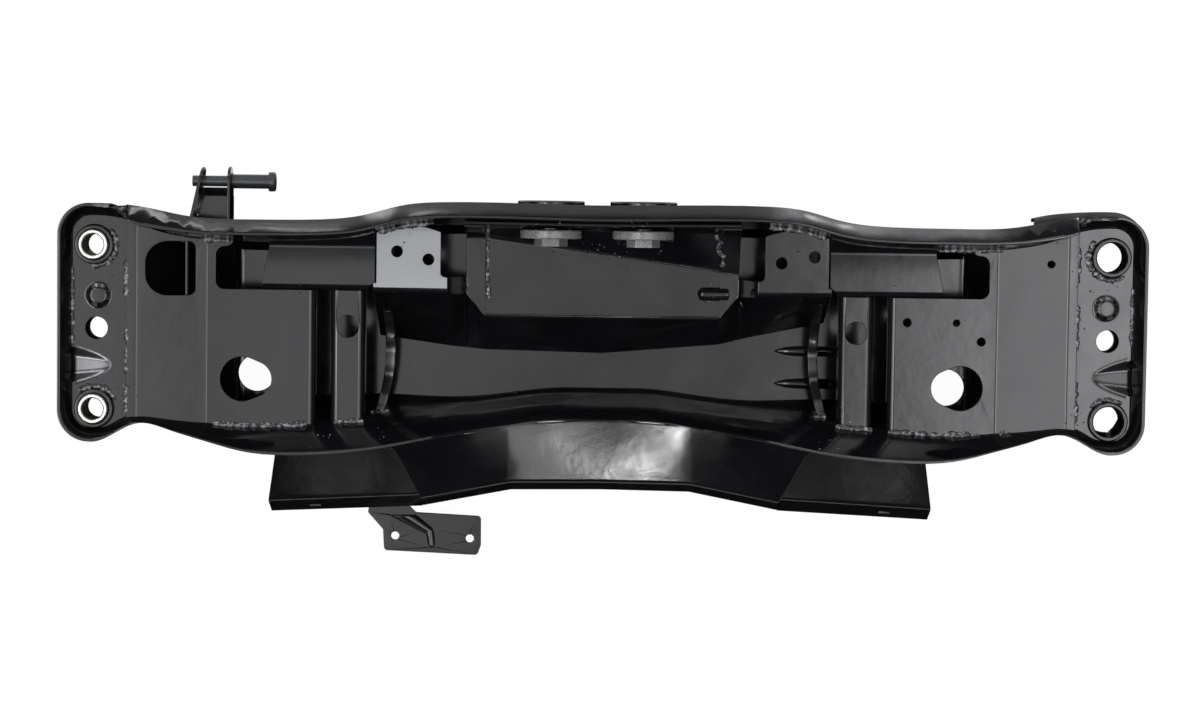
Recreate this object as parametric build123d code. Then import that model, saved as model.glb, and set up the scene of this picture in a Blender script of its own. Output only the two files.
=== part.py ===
from build123d import *
import os
from math import atan2, cos, degrees, hypot, radians, tan

# Welded front axle subframe of pressed sheet steel, open side up.
# X runs along the beam, Y to the front of the vehicle, Z up. The small locating holes lie on Y = 0.

# Sheet thickness and overall form
SHEET = 3.0
HALF_LENGTH = 513.0
RIM_Z = 138.0
END_FLOOR_Z = 92.0
END_FLOOR_X = HALF_LENGTH - 63.0
DEEP_FLOOR_X = HALF_LENGTH - 153.0
SIDE_BEND_R = 18.0
CORNER_R = 30.0
CORNER_LEAD = 5.0
FRONT_END_Y = 118.5
REAR_END_Y = -107.0

# Rim line seen from above: share of the half length, Y, and how strongly the wall flares there
FRONT_RIM_SHARES = (
    (0.0, 122.5, 1.0), (0.2924, 123.7, 1.0), (0.3704, 120.0, 1.0), (0.4386, 110.7, 1.0),
    (0.5166, 106.0, 1.0), (0.6433, 105.0, 1.0), (0.7602, 107.3, 1.05), (0.8285, 114.0, 1.2),
    (0.8869, 118.0, 0.9),
)
REAR_RIM_SHARES = (
    (0.0, -81.5, 0.48), (0.0975, -82.0, 0.48), (0.1852, -88.5, 0.5), (0.2924, -97.5, 0.6),
    (0.3821, -107.5, 0.85), (0.4678, -114.3, 1.0), (0.5653, -117.5, 1.0), (0.6628, -114.0, 0.8),
    (0.731, -104.5, 0.5), (0.7914, -95.3, 0.35), (0.8499, -88.8, 0.35), (0.8772, -94.0, 0.7),
    (0.9084, -103.0, 0.75),
)
FRONT_RIM = tuple((share * HALF_LENGTH, y, flare) for share, y, flare in FRONT_RIM_SHARES)
REAR_RIM = tuple((share * HALF_LENGTH, y, flare) for share, y, flare in REAR_RIM_SHARES)
# The front wall is split where its line runs nearest to the middle, and is one pressing in the real part
WALL_SEAM_X = FRONT_RIM[5][0]
# Height, then how far the front, rear and end walls stand inside the rim line at that height
WALL_LEVELS = (
    (RIM_Z, 0.0, 0.0, 0.0), (118.0, 13.0, 12.0, 9.0), (95.0, 18.0, 22.0, 11.0),
    (10.0, 22.0, 36.0, 13.0), (0.0, 29.0, 43.0, 20.0),
)
# The front wall between the end seams stands up to a fold instead, with a brim sloping outwards
FOLD_IN = 12.0
FOLD_LEVELS = ((RIM_Z, FOLD_IN, 0.0, 0.0),) + WALL_LEVELS[1:]
BRIM_LOW_Z = 131.5
BRIM_DROP = 3.5
WALL_RUN = 3.3
WALL_STEPS = tuple((z, front_in) for z, front_in, rear_in, end_in in reversed(WALL_LEVELS))

# Small shared sizes
BEND_R = 7.0
EDGE_BREAK = 1.0
CLEARANCE = 1.0
DRILL_START = -10.0
SHELL_SEAM_X = HALF_LENGTH - 66.0
FLOOR_SEAM = SHEET + 2.0

# Apron folded over from the rear rim: distance from the middle, lip Y, lip top Z
APRON_TOP_HALF = 196.0
APRON_LOW_HALF = 171.0
APRON_CORNER_R = 11.0
APRON_BEND_R = 8.0
APRON_STATIONS = (
    (0, -141.4, 118.0), (APRON_LOW_HALF / 2, -142.6, 118.0), (APRON_LOW_HALF, -161.0, 100.0),
    (APRON_TOP_HALF + 2 * APRON_CORNER_R, -169.0, 92.0),
)
APRON_LIP_DROP = 32.0
APRON_LIP_OUT = 9.5

# End plates with their bores
END_PLATE_Z = 120.0
BORE_X = HALF_LENGTH - 32.5
FRONT_BORE_Y = 79.0
REAR_BORE_Y = -76.3
COLLAR_R = 18.6
COLLAR_TOP_Z = 125.5
SLEEVE_R = 14.2
SLEEVE_BORE_R = 10.1
SLEEVE_TOP_Z = 131.0
LOCATING_X = HALF_LENGTH - 34.5
LOCATING_HOLE_R = 10.5
DIMPLE_X = HALF_LENGTH - 36.5
DIMPLE_Y = 31.0
DIMPLE_R = 13.5
DIMPLE_TOP_R = 6.0
DIMPLE_HEIGHT = 4.5
FAN_APEX_X = HALF_LENGTH - 48.0
FAN_APEX_Y = -35.0
FAN_END_R = 22.0
FAN_DEPTH = 7.0

# Closing plates
CLOSING_FLANGE_X = HALF_LENGTH - 63.5
CLOSING_BEND_X = HALF_LENGTH - 73.0
CLOSING_STEP_X = HALF_LENGTH - 135.5
CLOSING_INNER_X = 273.5
CLOSING_FLAT_Z = 95.0
CLOSING_LIP = 14.0
CLOSING_FRONT_Y = 37.7
CORNER_CUT_X = CLOSING_STEP_X - 8.5
CORNER_CUT_R = 8.0
CORNER_TAB_X = CORNER_CUT_X - 17.0
CORNER_TAB_Y = 78.0
EGG_X = CLOSING_STEP_X - 37.5
EGG_Y = -48.5
EGG_OUTER_R = 21.2
EGG_INNER_R = 17.0
EGG_LENGTH = 49.0
FLOOR_HOLE_R = 18.0
FLOOR_HOLE_Y = {"left": -48.5, "right": -54.0}
D_HOLE_X = CLOSING_STEP_X + 32.5
D_HOLE_Y = 57.0
D_HOLE_WIDTH = 44.5
D_HOLE_DEPTH = 51.0
D_HOLE_OUTER_R = 20.0
D_HOLE_INNER_R = 7.0
THREADED_HOLES = ((CLOSING_INNER_X + 18.0, 14.0), (CLOSING_STEP_X - 15.0, -3.5))
THREAD_HOLE_R = 3.9
PLAIN_HOLES = ((CLOSING_STEP_X - 39.0, 14.2), (CLOSING_STEP_X + 47.0, 72.0))
PLAIN_HOLE_R = 3.2
NUT_FLAT = 13.0
NUT_HEIGHT = 8.0
BAFFLE_X = CLOSING_STEP_X + 18.5
BAFFLE_HOLE_Z = 62.0
BAFFLE_HOLE_R = 15.0

# Spring bridges
BRIDGE_X0 = 226.5
BRIDGE_X1 = 259.5
BRIDGE_Z = 93.0
BRIDGE_LIP = 20.0
BRIDGE_HOLE_Y = 3.0
BRIDGE_HOLE_R = 10.6

# Wings along the front wall
WING_X0 = 217.0
WING_X1 = 326.0
WING_FLOOR_Z = 98.0
WING_RISE_Y = 112.0
WING_RISE_Z = 119.0
WING_HEEL_Y = 80.0
WING_SLANT = 8.0
WING_CHAMFER = 9.0
WING_LIP = 15.0
WING_BEND_R = 7.0

# Consoles
CONSOLE_Z = 102.0
CONSOLE_X0 = 154.5
CONSOLE_X1 = 215.5
CONSOLE_SHOULDER_Y = 94.5
CONSOLE_TOP_Y = 100.5
CONSOLE_TAB_Y = 51.5
PAD_LOW_Y = 45.5
CONSOLE_HOLES = {"left": ((196.0, 75.6), (166.0, 68.3)), "right": ((201.6, 75.4), (170.2, 69.2))}
CONSOLE_HOLE_R = 5.4
WEB_TOP_Y = 38.0
WEB_X1 = 218.5
STEP_X0 = 132.0
STEP_X1 = 148.0
STEP_FACETS = 6
STRIP_INNER_X = 113.5
SLOT_R = 5.0

# Front rail
SHELF_Z = 52.0
SHELF_LIP_Y = 12.5
SHELF_CORNER_Y = 34.5
RAIL_TOP_Z = 112.0
RAIL_KNEE_Z = 84.0
RAIL_BEND_R = 8.0
RAMP_FOOT = ((-132, 94.0), (-114, 93.5), (114, 59.0), (132, 58.0))
WEB_FOOT = (
    (-224, -9.0), (-157, -18.6), (-80, -25.5), (0, -24.8),
    (56, -24.6), (113, -15.0), (157, -4.5), (224, 9.0),
)
RAIL_BEAD_X0 = 98.0
RAIL_BEAD_X1 = 122.0
RAIL_BEAD_Y = 37.0
RAIL_BEAD_R = 6.0

# Steering rack bosses through the front wall
BOSS_X = {"left": -50.0, "right": 38.5}
BOSS_Z = 84.0
BOSS_R = 14.0
BOSS_BORE_R = 7.0
BOSS_DISC_R = 32.0
BOSS_DISC_Y = 119.0
BOSS_DISC_T = 6.5
WASHER_R = 29.5
WASHER_Y = 98.0
WASHER_T = 8.5
BOSS_NUT_FLAT = 28.0
BOSS_NUT_T = 7.5

# Ribs across the channel, with their line seen from above
RIB_LINE = ((212.0, 36.0), (207.0, -12.0), (214.0, -72.0), (224.0, -100.0), (229.0, -118.0))
RIB_FRONT_Z = 90.0
RIB_REAR_Z = 124.0
RIB_LOW_Z = 22.0
RIB_SAG_LEAD = 30.0

# Rear flaps
FLAP_GAP = 0.5
FLAP_STATIONS = ((APRON_LOW_HALF + FLAP_GAP, -157.5, 95.0), (318.0, -165.5, 92.5))
FLAP_LOW_Z = 63.0
FLAP_SLANT = 9.0
FLAP_BEND_R = 8.0
FLAP_ROOT_Y = -98.0
FLAP_ROOT_Z = 112.0
FLAP_LIP_DROP = 34.0
FLAP_LIP_OUT = 15.0
FLAP_SLOT_X = 274.5
FLAP_SLOT_LENGTH = 10.5
FLAP_SLOT_HEIGHT = 5.0

# Hose bracket under the left rear flap
HOSE_HOLES = ((-197.9, -201.0), (-125.5, -202.9))
HOSE_HOLE_R = 3.9
HOSE_OUTLINE = (
    (-222.0, -160.0), (-224.5, -178.5), (-209.8, -194.9), (-208.6, -215.4), (-118.0, -219.0),
    (-114.6, -209.2), (-114.8, -180.9), (-177.9, -177.9), (-186.0, -170.0), (-186.0, -160.0),
)
HOSE_CORNER_R = 4.0
HOSE_BEAD = ((-199.0, -174.0), (-164.0, -196.5), (-162.5, -209.0))
HOSE_BEAD_R0 = 8.5
HOSE_BEAD_R1 = 4.2
HOSE_BEAD_SINK = 1.5
HOSE_BEAD_Y = -181.0

# Hanger bracket on the front wall, left
HANGER_EAR_X0 = 126.0 - HALF_LENGTH
HANGER_EAR_X1 = HANGER_EAR_X0 + 31.0
HANGER_PIN_Y = 140.0
HANGER_PIN_Z = 80.0
HANGER_PIN_R = 6.8
HANGER_PIN_END_X = HANGER_EAR_X1 + 42.0
HANGER_HEAD_R = 9.3
HANGER_HEAD_T = 6.5
HANGER_SHANK_R = 5.2
HANGER_TIP_R = 14.0
HANGER_ROOT_Y = 84.0
HANGER_BASE_Y = 126.0
HANGER_LEAN = 12.0

# Edge bracket at the front right end
EDGE_BRACKET_Z = 104.0
EDGE_BRACKET_OUT = 3.5
EDGE_BRACKET_DROP = 22.0
EDGE_BRACKET_X0 = HALF_LENGTH - 104.0
EDGE_BRACKET_Y0 = 104.0


def mirrored(stations):
    """Stations on both sides of the middle, from -X to +X."""
    left = [(-s[0],) + tuple(s[1:]) for s in reversed(stations) if s[0] > 0]
    return left + list(stations)


def outline(z, front_in, rear_in, end_in):
    """Closed plan outline of the tray wall at height z."""
    r = CORNER_R - end_in
    x_in = HALF_LENGTH - CORNER_R
    x_out = HALF_LENGTH - end_in
    front_y = FRONT_END_Y - end_in
    rear_y = REAR_END_Y + end_in
    front_c = FRONT_END_Y - CORNER_R
    rear_c = REAR_END_Y + CORNER_R
    k = r * cos(atan2(1, 1))
    front = [(-x_in, front_y), (-x_in + CORNER_LEAD, front_y)]
    front += [(x, y - f * front_in) for x, y, f in mirrored(FRONT_RIM)]
    front += [(x_in - CORNER_LEAD, front_y), (x_in, front_y)]
    rear = [(x_in, rear_y), (x_in - CORNER_LEAD, rear_y)]
    rear += [(x, y + f * rear_in) for x, y, f in reversed(mirrored(REAR_RIM))]
    rear += [(-x_in + CORNER_LEAD, rear_y), (-x_in, rear_y)]
    edges = [
        Spline(*front),
        ThreePointArc((x_in, front_y), (x_in + k, front_c + k), (x_out, front_c)),
        Line((x_out, front_c), (x_out, rear_c)),
        ThreePointArc((x_out, rear_c), (x_in + k, rear_c - k), (x_in, rear_y)),
        Spline(*rear),
        ThreePointArc((-x_in, rear_y), (-x_in - k, rear_c - k), (-x_out, rear_c)),
        Line((-x_out, rear_c), (-x_out, front_c)),
        ThreePointArc((-x_out, front_c), (-x_in - k, front_c + k), (-x_in, front_y)),
    ]
    return Pos(0, 0, z) * make_face(edges)


def side_profile(inset):
    """Side view of the tray floor, moved in by the inset, as a slab across the whole width."""
    slope = atan2(END_FLOOR_Z, END_FLOOR_X - DEEP_FLOOR_X)
    shift = inset * tan(slope / 2)
    half = [
        (DEEP_FLOOR_X - shift, inset), (END_FLOOR_X - shift, END_FLOOR_Z + inset),
        (HALF_LENGTH + SHEET, END_FLOOR_Z + inset), (HALF_LENGTH + SHEET, 2 * RIM_Z),
    ]
    points = half + [(-x, z) for x, z in reversed(half)]
    face = make_face(Polyline(*points, close=True))
    bends = [v for v in face.vertices() if abs(v.X) < END_FLOOR_X + SHEET and v.Y < RIM_Z]
    face = fillet(bends, SIDE_BEND_R)
    return extrude(Plane.XZ * face, amount=2 * RIM_Z, both=True)


def tray_body(inset, levels):
    """Solid bounded by the tray wall and floor, moved in by the sheet for the hollow inside."""
    run = WALL_RUN if inset else 0.0
    sections = []
    if inset:
        rise = RIM_Z - levels[1][0]
        top = [run + 2 * a - b for a, b in zip(levels[0][1:], levels[1][1:])]
        sections.append(outline(RIM_Z + rise, *top))
    for z, front_in, rear_in, end_in in levels:
        lift = inset if z < CLOSING_FLAT_Z else 0.0
        sections.append(outline(z + lift, front_in + run, rear_in + run, end_in + run))
    return loft(sections, ruled=True) & side_profile(inset)


def band(points, thickness, radius):
    """Folded sheet section: the line of points with bends of the given radius, thickened to its left."""
    normals = []
    for (x0, y0), (x1, y1) in zip(points, points[1:]):
        run = hypot(x1 - x0, y1 - y0)
        normals.append(((y0 - y1) / run, (x1 - x0) / run))
    far = []
    far_r = []
    for i, (x, y) in enumerate(points):
        n0 = normals[max(i - 1, 0)]
        n1 = normals[min(i, len(normals) - 1)]
        reach = thickness / (1 + n0[0] * n1[0] + n0[1] * n1[1])
        far.append((x + (n0[0] + n1[0]) * reach, y + (n0[1] + n1[1]) * reach))
        if 0 < i < len(points) - 1:
            left_turn = n0[0] * n1[1] - n0[1] * n1[0] > 0
            far_r.append(radius - thickness if left_turn else radius + thickness)
    edges = [
        FilletPolyline(*points, radius=radius), Line(points[-1], far[-1]),
        FilletPolyline(*reversed(far), radius=list(reversed(far_r))), Line(far[0], points[0]),
    ]
    return make_face(edges)


def across(face, x0, x1):
    """A section drawn in Y and Z, run along X."""
    return extrude(Plane.YZ.offset(x0) * face, amount=x1 - x0)


def plate(points, z_top, thickness=SHEET):
    """Flat plate with its top face at z_top."""
    face = make_face(Polyline(*points, close=True))
    return extrude(Pos(0, 0, z_top) * face, amount=-thickness)


def drill(x, y, radius, z0=DRILL_START, z1=2 * RIM_Z):
    """Upright cutting cylinder."""
    return Pos(x, y, (z0 + z1) / 2) * Cylinder(radius, z1 - z0)


def drill_y(x, z, radius, y0, y1):
    """Cutting cylinder along Y."""
    return Pos(x, (y0 + y1) / 2, z) * Rot(90, 0, 0) * Cylinder(radius, y1 - y0)


def between(stations, x):
    """Height of a line of stations at x."""
    for (x0, y0), (x1, y1) in zip(stations, stations[1:]):
        if x <= x1:
            return y0 + (y1 - y0) * (x - x0) / (x1 - x0)
    return stations[-1][1]


SIDES = {"left": -1, "right": 1}
OUTER = tray_body(0.0, WALL_LEVELS)
END_CAVITY = tray_body(SHEET, WALL_LEVELS)
CAVITY = tray_body(SHEET, FOLD_LEVELS)
SHELL = OUTER - END_CAVITY
FLOOR = SHELL - side_profile(FLOOR_SEAM)
WALLS = SHELL & side_profile(FLOOR_SEAM)


def apron():
    """Sheet folded over outwards from the middle of the rear rim."""
    ridge = [(x, y) for x, y, f in mirrored(REAR_RIM)]
    sections = []
    for x, lip_y, lip_z in mirrored(APRON_STATIONS):
        y = between(ridge, x) + WALL_RUN / 2
        line = [(y, RIM_Z), (lip_y, lip_z), (lip_y - APRON_LIP_OUT, lip_z - APRON_LIP_DROP)]
        sections.append(Plane.YZ.offset(x) * band(line, SHEET, APRON_BEND_R))
    sheet = loft(sections, ruled=True) - OUTER
    low_y = APRON_STATIONS[2][1]
    far_x = APRON_TOP_HALF + APRON_CORNER_R
    corner_y = between(ridge, APRON_TOP_HALF) - SHEET / 2
    half = [
        (far_x, 0), (far_x, between(ridge, far_x) + SHEET / 2), (APRON_TOP_HALF, corner_y),
        (APRON_LOW_HALF, low_y), (APRON_LOW_HALF, 2 * low_y),
    ]
    face = make_face(Polyline(*half, *[(-x, y) for x, y in reversed(half)], close=True))
    corners = [v for v in face.vertices() if abs(v.Y - corner_y) < 0.01]
    return sheet & extrude(fillet(corners, APRON_CORNER_R), amount=2 * RIM_Z)


def half_space(sign_y):
    """Everything between the two end seams, to the front or to the rear."""
    return Pos(0, sign_y * HALF_LENGTH, 0) * Box(2 * SHELL_SEAM_X, 2 * HALF_LENGTH, 2 * HALF_LENGTH)


def beyond(sign, seam_x):
    """Everything past a seam of one side."""
    size = 2 * HALF_LENGTH
    return Pos(sign * (seam_x + HALF_LENGTH), 0, 0) * Box(size, size, size)


def floor_pan():
    """Deep floor with both slopes, up to the end seams."""
    pan = FLOOR - beyond(1, SHELL_SEAM_X) - beyond(-1, SHELL_SEAM_X)
    for side, sign in SIDES.items():
        pan -= drill(sign * EGG_X, FLOOR_HOLE_Y[side], FLOOR_HOLE_R)
    return pan


def brim():
    """Sheet folded outwards and slightly down from the top of the front wall."""
    caps = []
    for drop in (0.0, BRIM_DROP):
        low = outline(BRIM_LOW_Z - drop, 0, 0, 0)
        caps.append(loft([low, outline(RIM_Z - drop, *FOLD_LEVELS[0][1:])], ruled=True))
    return caps[0] - caps[1]


def front_wall():
    """Front wall with its brim, from one end seam to the other."""
    upright = (tray_body(0.0, FOLD_LEVELS) + brim()) - CAVITY
    wall = upright & side_profile(FLOOR_SEAM) & half_space(1)
    for side in SIDES:
        wall -= drill_y(BOSS_X[side], BOSS_Z, BOSS_R, 0, BOSS_DISC_Y)
    return wall


def end_floor(sign):
    """Raised floor at one end, under the end plate."""
    floor = FLOOR & beyond(sign, SHELL_SEAM_X)
    floor -= drill(sign * LOCATING_X, 0, LOCATING_HOLE_R)
    floor -= drill(sign * BORE_X, FRONT_BORE_Y, SLEEVE_R)
    return floor - drill(sign * BORE_X, REAR_BORE_Y, SLEEVE_R)


def end_plate():
    """Right end plate with bores, locating hole, raised dimple and sunk fan."""
    slab = plate([(SHELL_SEAM_X, -RIM_Z), (2 * HALF_LENGTH, -RIM_Z), (2 * HALF_LENGTH, RIM_Z),
                  (SHELL_SEAM_X, RIM_Z)], END_PLATE_Z)
    fan_length = HALF_LENGTH - FAN_APEX_X
    squash = (1, 1, FAN_DEPTH / FAN_END_R)
    turn = Rot(0, -90, 0)
    inner = scale(turn * Cone(FAN_END_R, 0.5, fan_length), by=squash)
    outer = scale(turn * Cone(FAN_END_R + SHEET, SHEET, fan_length), by=squash)
    seat = Pos(FAN_APEX_X + fan_length / 2, FAN_APEX_Y, END_PLATE_Z)
    slab += (seat * Pos(0, 0, -SHEET) * outer) & plate(
        [(FAN_APEX_X, -RIM_Z), (HALF_LENGTH, -RIM_Z), (HALF_LENGTH, RIM_Z), (FAN_APEX_X, RIM_Z)],
        END_PLATE_Z, 2 * FAN_DEPTH)
    slab -= seat * inner
    rise = Pos(DIMPLE_X, DIMPLE_Y, END_PLATE_Z + DIMPLE_HEIGHT / 2)
    slab += rise * Cone(DIMPLE_R, DIMPLE_TOP_R, DIMPLE_HEIGHT)
    slab -= rise * Pos(0, 0, -SHEET) * Cone(DIMPLE_R - SHEET / 2, DIMPLE_TOP_R - SHEET / 2, DIMPLE_HEIGHT)
    slab &= END_CAVITY
    for y in (FRONT_BORE_Y, REAR_BORE_Y):
        slab -= drill(BORE_X, y, COLLAR_R)
    return slab - drill(LOCATING_X, 0, LOCATING_HOLE_R)


def ring(x, y, radius, bore, z0, z1):
    """Upright ring with softened top edges."""
    body = Pos(x, y, (z0 + z1) / 2) * Cylinder(radius, z1 - z0)
    body -= drill(x, y, bore)
    return chamfer(body.edges().filter_by(GeomType.CIRCLE).group_by(Axis.Z)[-1], EDGE_BREAK)


def collar(sign, y):
    """Thick ring on the end floor, flattened where it meets the wall."""
    return ring(sign * BORE_X, y, COLLAR_R, SLEEVE_R, END_FLOOR_Z + SHEET, COLLAR_TOP_Z) & END_CAVITY


def sleeve(sign, y):
    return ring(sign * BORE_X, y, SLEEVE_R, SLEEVE_BORE_R, END_FLOOR_Z, SLEEVE_TOP_Z)


def closing_sheet():
    """Right closing plate before its holes are cut."""
    line = [
        (CLOSING_FLANGE_X, END_PLATE_Z + SHEET), (CLOSING_BEND_X, END_PLATE_Z + SHEET),
        (CLOSING_STEP_X, CLOSING_FLAT_Z), (CLOSING_INNER_X, CLOSING_FLAT_Z),
        (CLOSING_INNER_X, CLOSING_FLAT_Z - CLOSING_LIP),
    ]
    return extrude(Plane.XZ * band(line, SHEET, BEND_R), amount=2 * RIM_Z, both=True) & CAVITY


def closing_plate(side):
    """Closing plate of one side, drawn on the right."""
    sheet = closing_sheet()
    corner = [
        (CLOSING_INNER_X - CORNER_CUT_R, CLOSING_FRONT_Y), (CORNER_CUT_X, CLOSING_FRONT_Y),
        (CORNER_CUT_X, CORNER_TAB_Y), (CORNER_TAB_X, CORNER_TAB_Y), (CORNER_TAB_X, RIM_Z),
        (CLOSING_INNER_X - CORNER_CUT_R, RIM_Z),
    ]
    face = make_face(Polyline(*corner, close=True))
    face = fillet([v for v in face.vertices() if v.X > CORNER_TAB_X - 1 and v.Y < RIM_Z - 1], CORNER_CUT_R)
    sheet -= extrude(face, amount=2 * RIM_Z)
    big = Pos(EGG_X + EGG_LENGTH / 2 - EGG_OUTER_R, EGG_Y) * Circle(EGG_OUTER_R)
    small = Pos(EGG_X - EGG_LENGTH / 2 + EGG_INNER_R, EGG_Y) * Circle(EGG_INNER_R)
    sheet -= extrude(make_hull(big.edges() + small.edges()), amount=2 * RIM_Z)
    if side == "left":
        window = Pos(D_HOLE_X, D_HOLE_Y) * Rectangle(D_HOLE_WIDTH, D_HOLE_DEPTH)
        window = fillet(window.vertices().group_by(Axis.X)[-1], D_HOLE_OUTER_R)
        window = fillet(window.vertices().group_by(Axis.X)[0], D_HOLE_INNER_R)
        sheet -= extrude(window, amount=2 * RIM_Z)
    if side == "right":
        for x, y in THREADED_HOLES:
            sheet -= drill(x, y, THREAD_HOLE_R)
        for x, y in PLAIN_HOLES:
            sheet -= drill(x, y, PLAIN_HOLE_R)
    return sheet


def weld_nuts():
    """Captive nuts under the right closing plate."""
    nuts = []
    for x, y in THREADED_HOLES:
        hexagon = Pos(x, y) * (RegularPolygon(NUT_FLAT / 2, 6, major_radius=False) - Circle(THREAD_HOLE_R))
        nuts.append(extrude(Pos(0, 0, CLOSING_FLAT_Z - SHEET) * hexagon, amount=-NUT_HEIGHT))
    return Compound(children=nuts)


def baffle():
    """Upright sheet under the sloping part of the right closing plate."""
    over = [
        (CLOSING_FLANGE_X, END_PLATE_Z + SHEET), (CLOSING_BEND_X, END_PLATE_Z + SHEET),
        (CLOSING_STEP_X, CLOSING_FLAT_Z), (CLOSING_INNER_X, CLOSING_FLAT_Z),
        (CLOSING_INNER_X, 2 * RIM_Z), (CLOSING_FLANGE_X, 2 * RIM_Z),
    ]
    roof = extrude(Plane.XZ * make_face(Polyline(*over, close=True)), amount=2 * RIM_Z, both=True)
    wall = Pos(BAFFLE_X, 0, RIM_Z / 2) * Box(SHEET, 2 * RIM_Z, RIM_Z)
    wall = (wall & CAVITY) - roof - closing_sheet()
    return wall - Pos(BAFFLE_X, 0, BAFFLE_HOLE_Z) * Rot(0, 90, 0) * Cylinder(BAFFLE_HOLE_R, 2 * SHEET)


def bridge():
    """Right hat section from the wing to the rear wall."""
    line = [
        (BRIDGE_X1, BRIDGE_Z - BRIDGE_LIP), (BRIDGE_X1, BRIDGE_Z),
        (BRIDGE_X0, BRIDGE_Z), (BRIDGE_X0, BRIDGE_Z - BRIDGE_LIP),
    ]
    hat = extrude(Plane.XZ * band(line, SHEET, BEND_R), amount=2 * RIM_Z, both=True)
    reach = plate([(0, CLOSING_FRONT_Y), (HALF_LENGTH, CLOSING_FRONT_Y), (HALF_LENGTH, -RIM_Z), (0, -RIM_Z)],
                  RIM_Z, RIM_Z)
    hole_x = (BRIDGE_X0 + BRIDGE_X1) / 2
    return (hat & reach & CAVITY) - drill(hole_x, BRIDGE_HOLE_Y, BRIDGE_HOLE_R)


def wing():
    """Right gutter along the front wall."""
    line = [
        (WING_RISE_Y, WING_RISE_Z), (WING_HEEL_Y, WING_FLOOR_Z), (CLOSING_FRONT_Y, WING_FLOOR_Z),
        (CLOSING_FRONT_Y, WING_FLOOR_Z - WING_LIP),
    ]
    sheet = across(band(line, SHEET, WING_BEND_R), WING_X0, WING_X1)
    low = CLOSING_FRONT_Y - SHEET
    trim = [
        (WING_X0, RIM_Z), (WING_X1 - WING_SLANT, RIM_Z), (WING_X1 - WING_SLANT, WING_HEEL_Y),
        (WING_X1, CLOSING_FRONT_Y), (WING_X1, low), (WING_X0 + WING_CHAMFER, low),
        (WING_X0 + WING_CHAMFER, CLOSING_FRONT_Y), (WING_X0, CLOSING_FRONT_Y + WING_CHAMFER),
    ]
    return sheet & CAVITY & plate(trim, RIM_Z, RIM_Z)


def foot_y(x):
    return between(WEB_FOOT, x)


def web_line(x, top_y, top_z):
    """Lower end of a web that runs from its top through the foot line, a little past the floor."""
    run = (foot_y(x) - top_y) / (top_z - SHEET)
    return (foot_y(x) + run * 2 * SHEET, -SHEET)


def rail_bead(radius):
    """Long rounded bump pressed up along X, drawn solid."""
    reach = RAIL_BEAD_X1 - RAIL_BEAD_X0
    body = Pos(RAIL_BEAD_X0 + reach / 2, RAIL_BEAD_Y, SHELF_Z) * Rot(0, 90, 0) * Cylinder(radius, reach)
    return body + Pos(RAIL_BEAD_X0, RAIL_BEAD_Y, SHELF_Z) * Sphere(radius)


def press_bead(sheet, x0, x1, low):
    """Press the bump into the part of a sheet above the given height, between x0 and x1."""
    span = Pos((x0 + x1) / 2, 0, low + RIM_Z / 2) * Box(x1 - x0, RIM_Z, RIM_Z)
    return sheet + (rail_bead(RAIL_BEAD_R) & span) - (rail_bead(RAIL_BEAD_R - SHEET) & span)


def rail_line(x):
    """Top line of the front rail at x: wall flange, ramp and shelf."""
    flange = [(wall_y(FRONT_RIM, -1, x, z) - SHEET, z) for z in (RAIL_TOP_Z, CLOSING_FLAT_Z, RAIL_KNEE_Z)]
    return flange + [(between(RAMP_FOOT, x), SHELF_Z)]


def strip(sign):
    """Narrow part of the console sheet that lies on the rail, drawn in place."""
    sections = []
    for x, low_y in ((STRIP_INNER_X, SHELF_LIP_Y), (STEP_X0, SHELF_CORNER_Y)):
        line = rail_line(sign * x) + [(low_y, SHELF_Z)]
        sections.append(Plane.YZ.offset(sign * x) * band(line[::-1], SHEET, RAIL_BEND_R))
    return loft(sections, ruled=True)


def ahead_of_web(side):
    """Solid in front of the rear face of a console web, drawn on the right."""
    sections = []
    for x in (STEP_X1, WEB_X1):
        low_y, low_z = web_line(SIDES[side] * x, WEB_TOP_Y, CONSOLE_Z)
        line = [(low_y, low_z), (RIM_Z, low_z), (RIM_Z, CONSOLE_Z), (WEB_TOP_Y, CONSOLE_Z)]
        sections.append(Plane.YZ.offset(x) * make_face(Polyline(*line, close=True)))
    return loft(sections, ruled=True)


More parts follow.
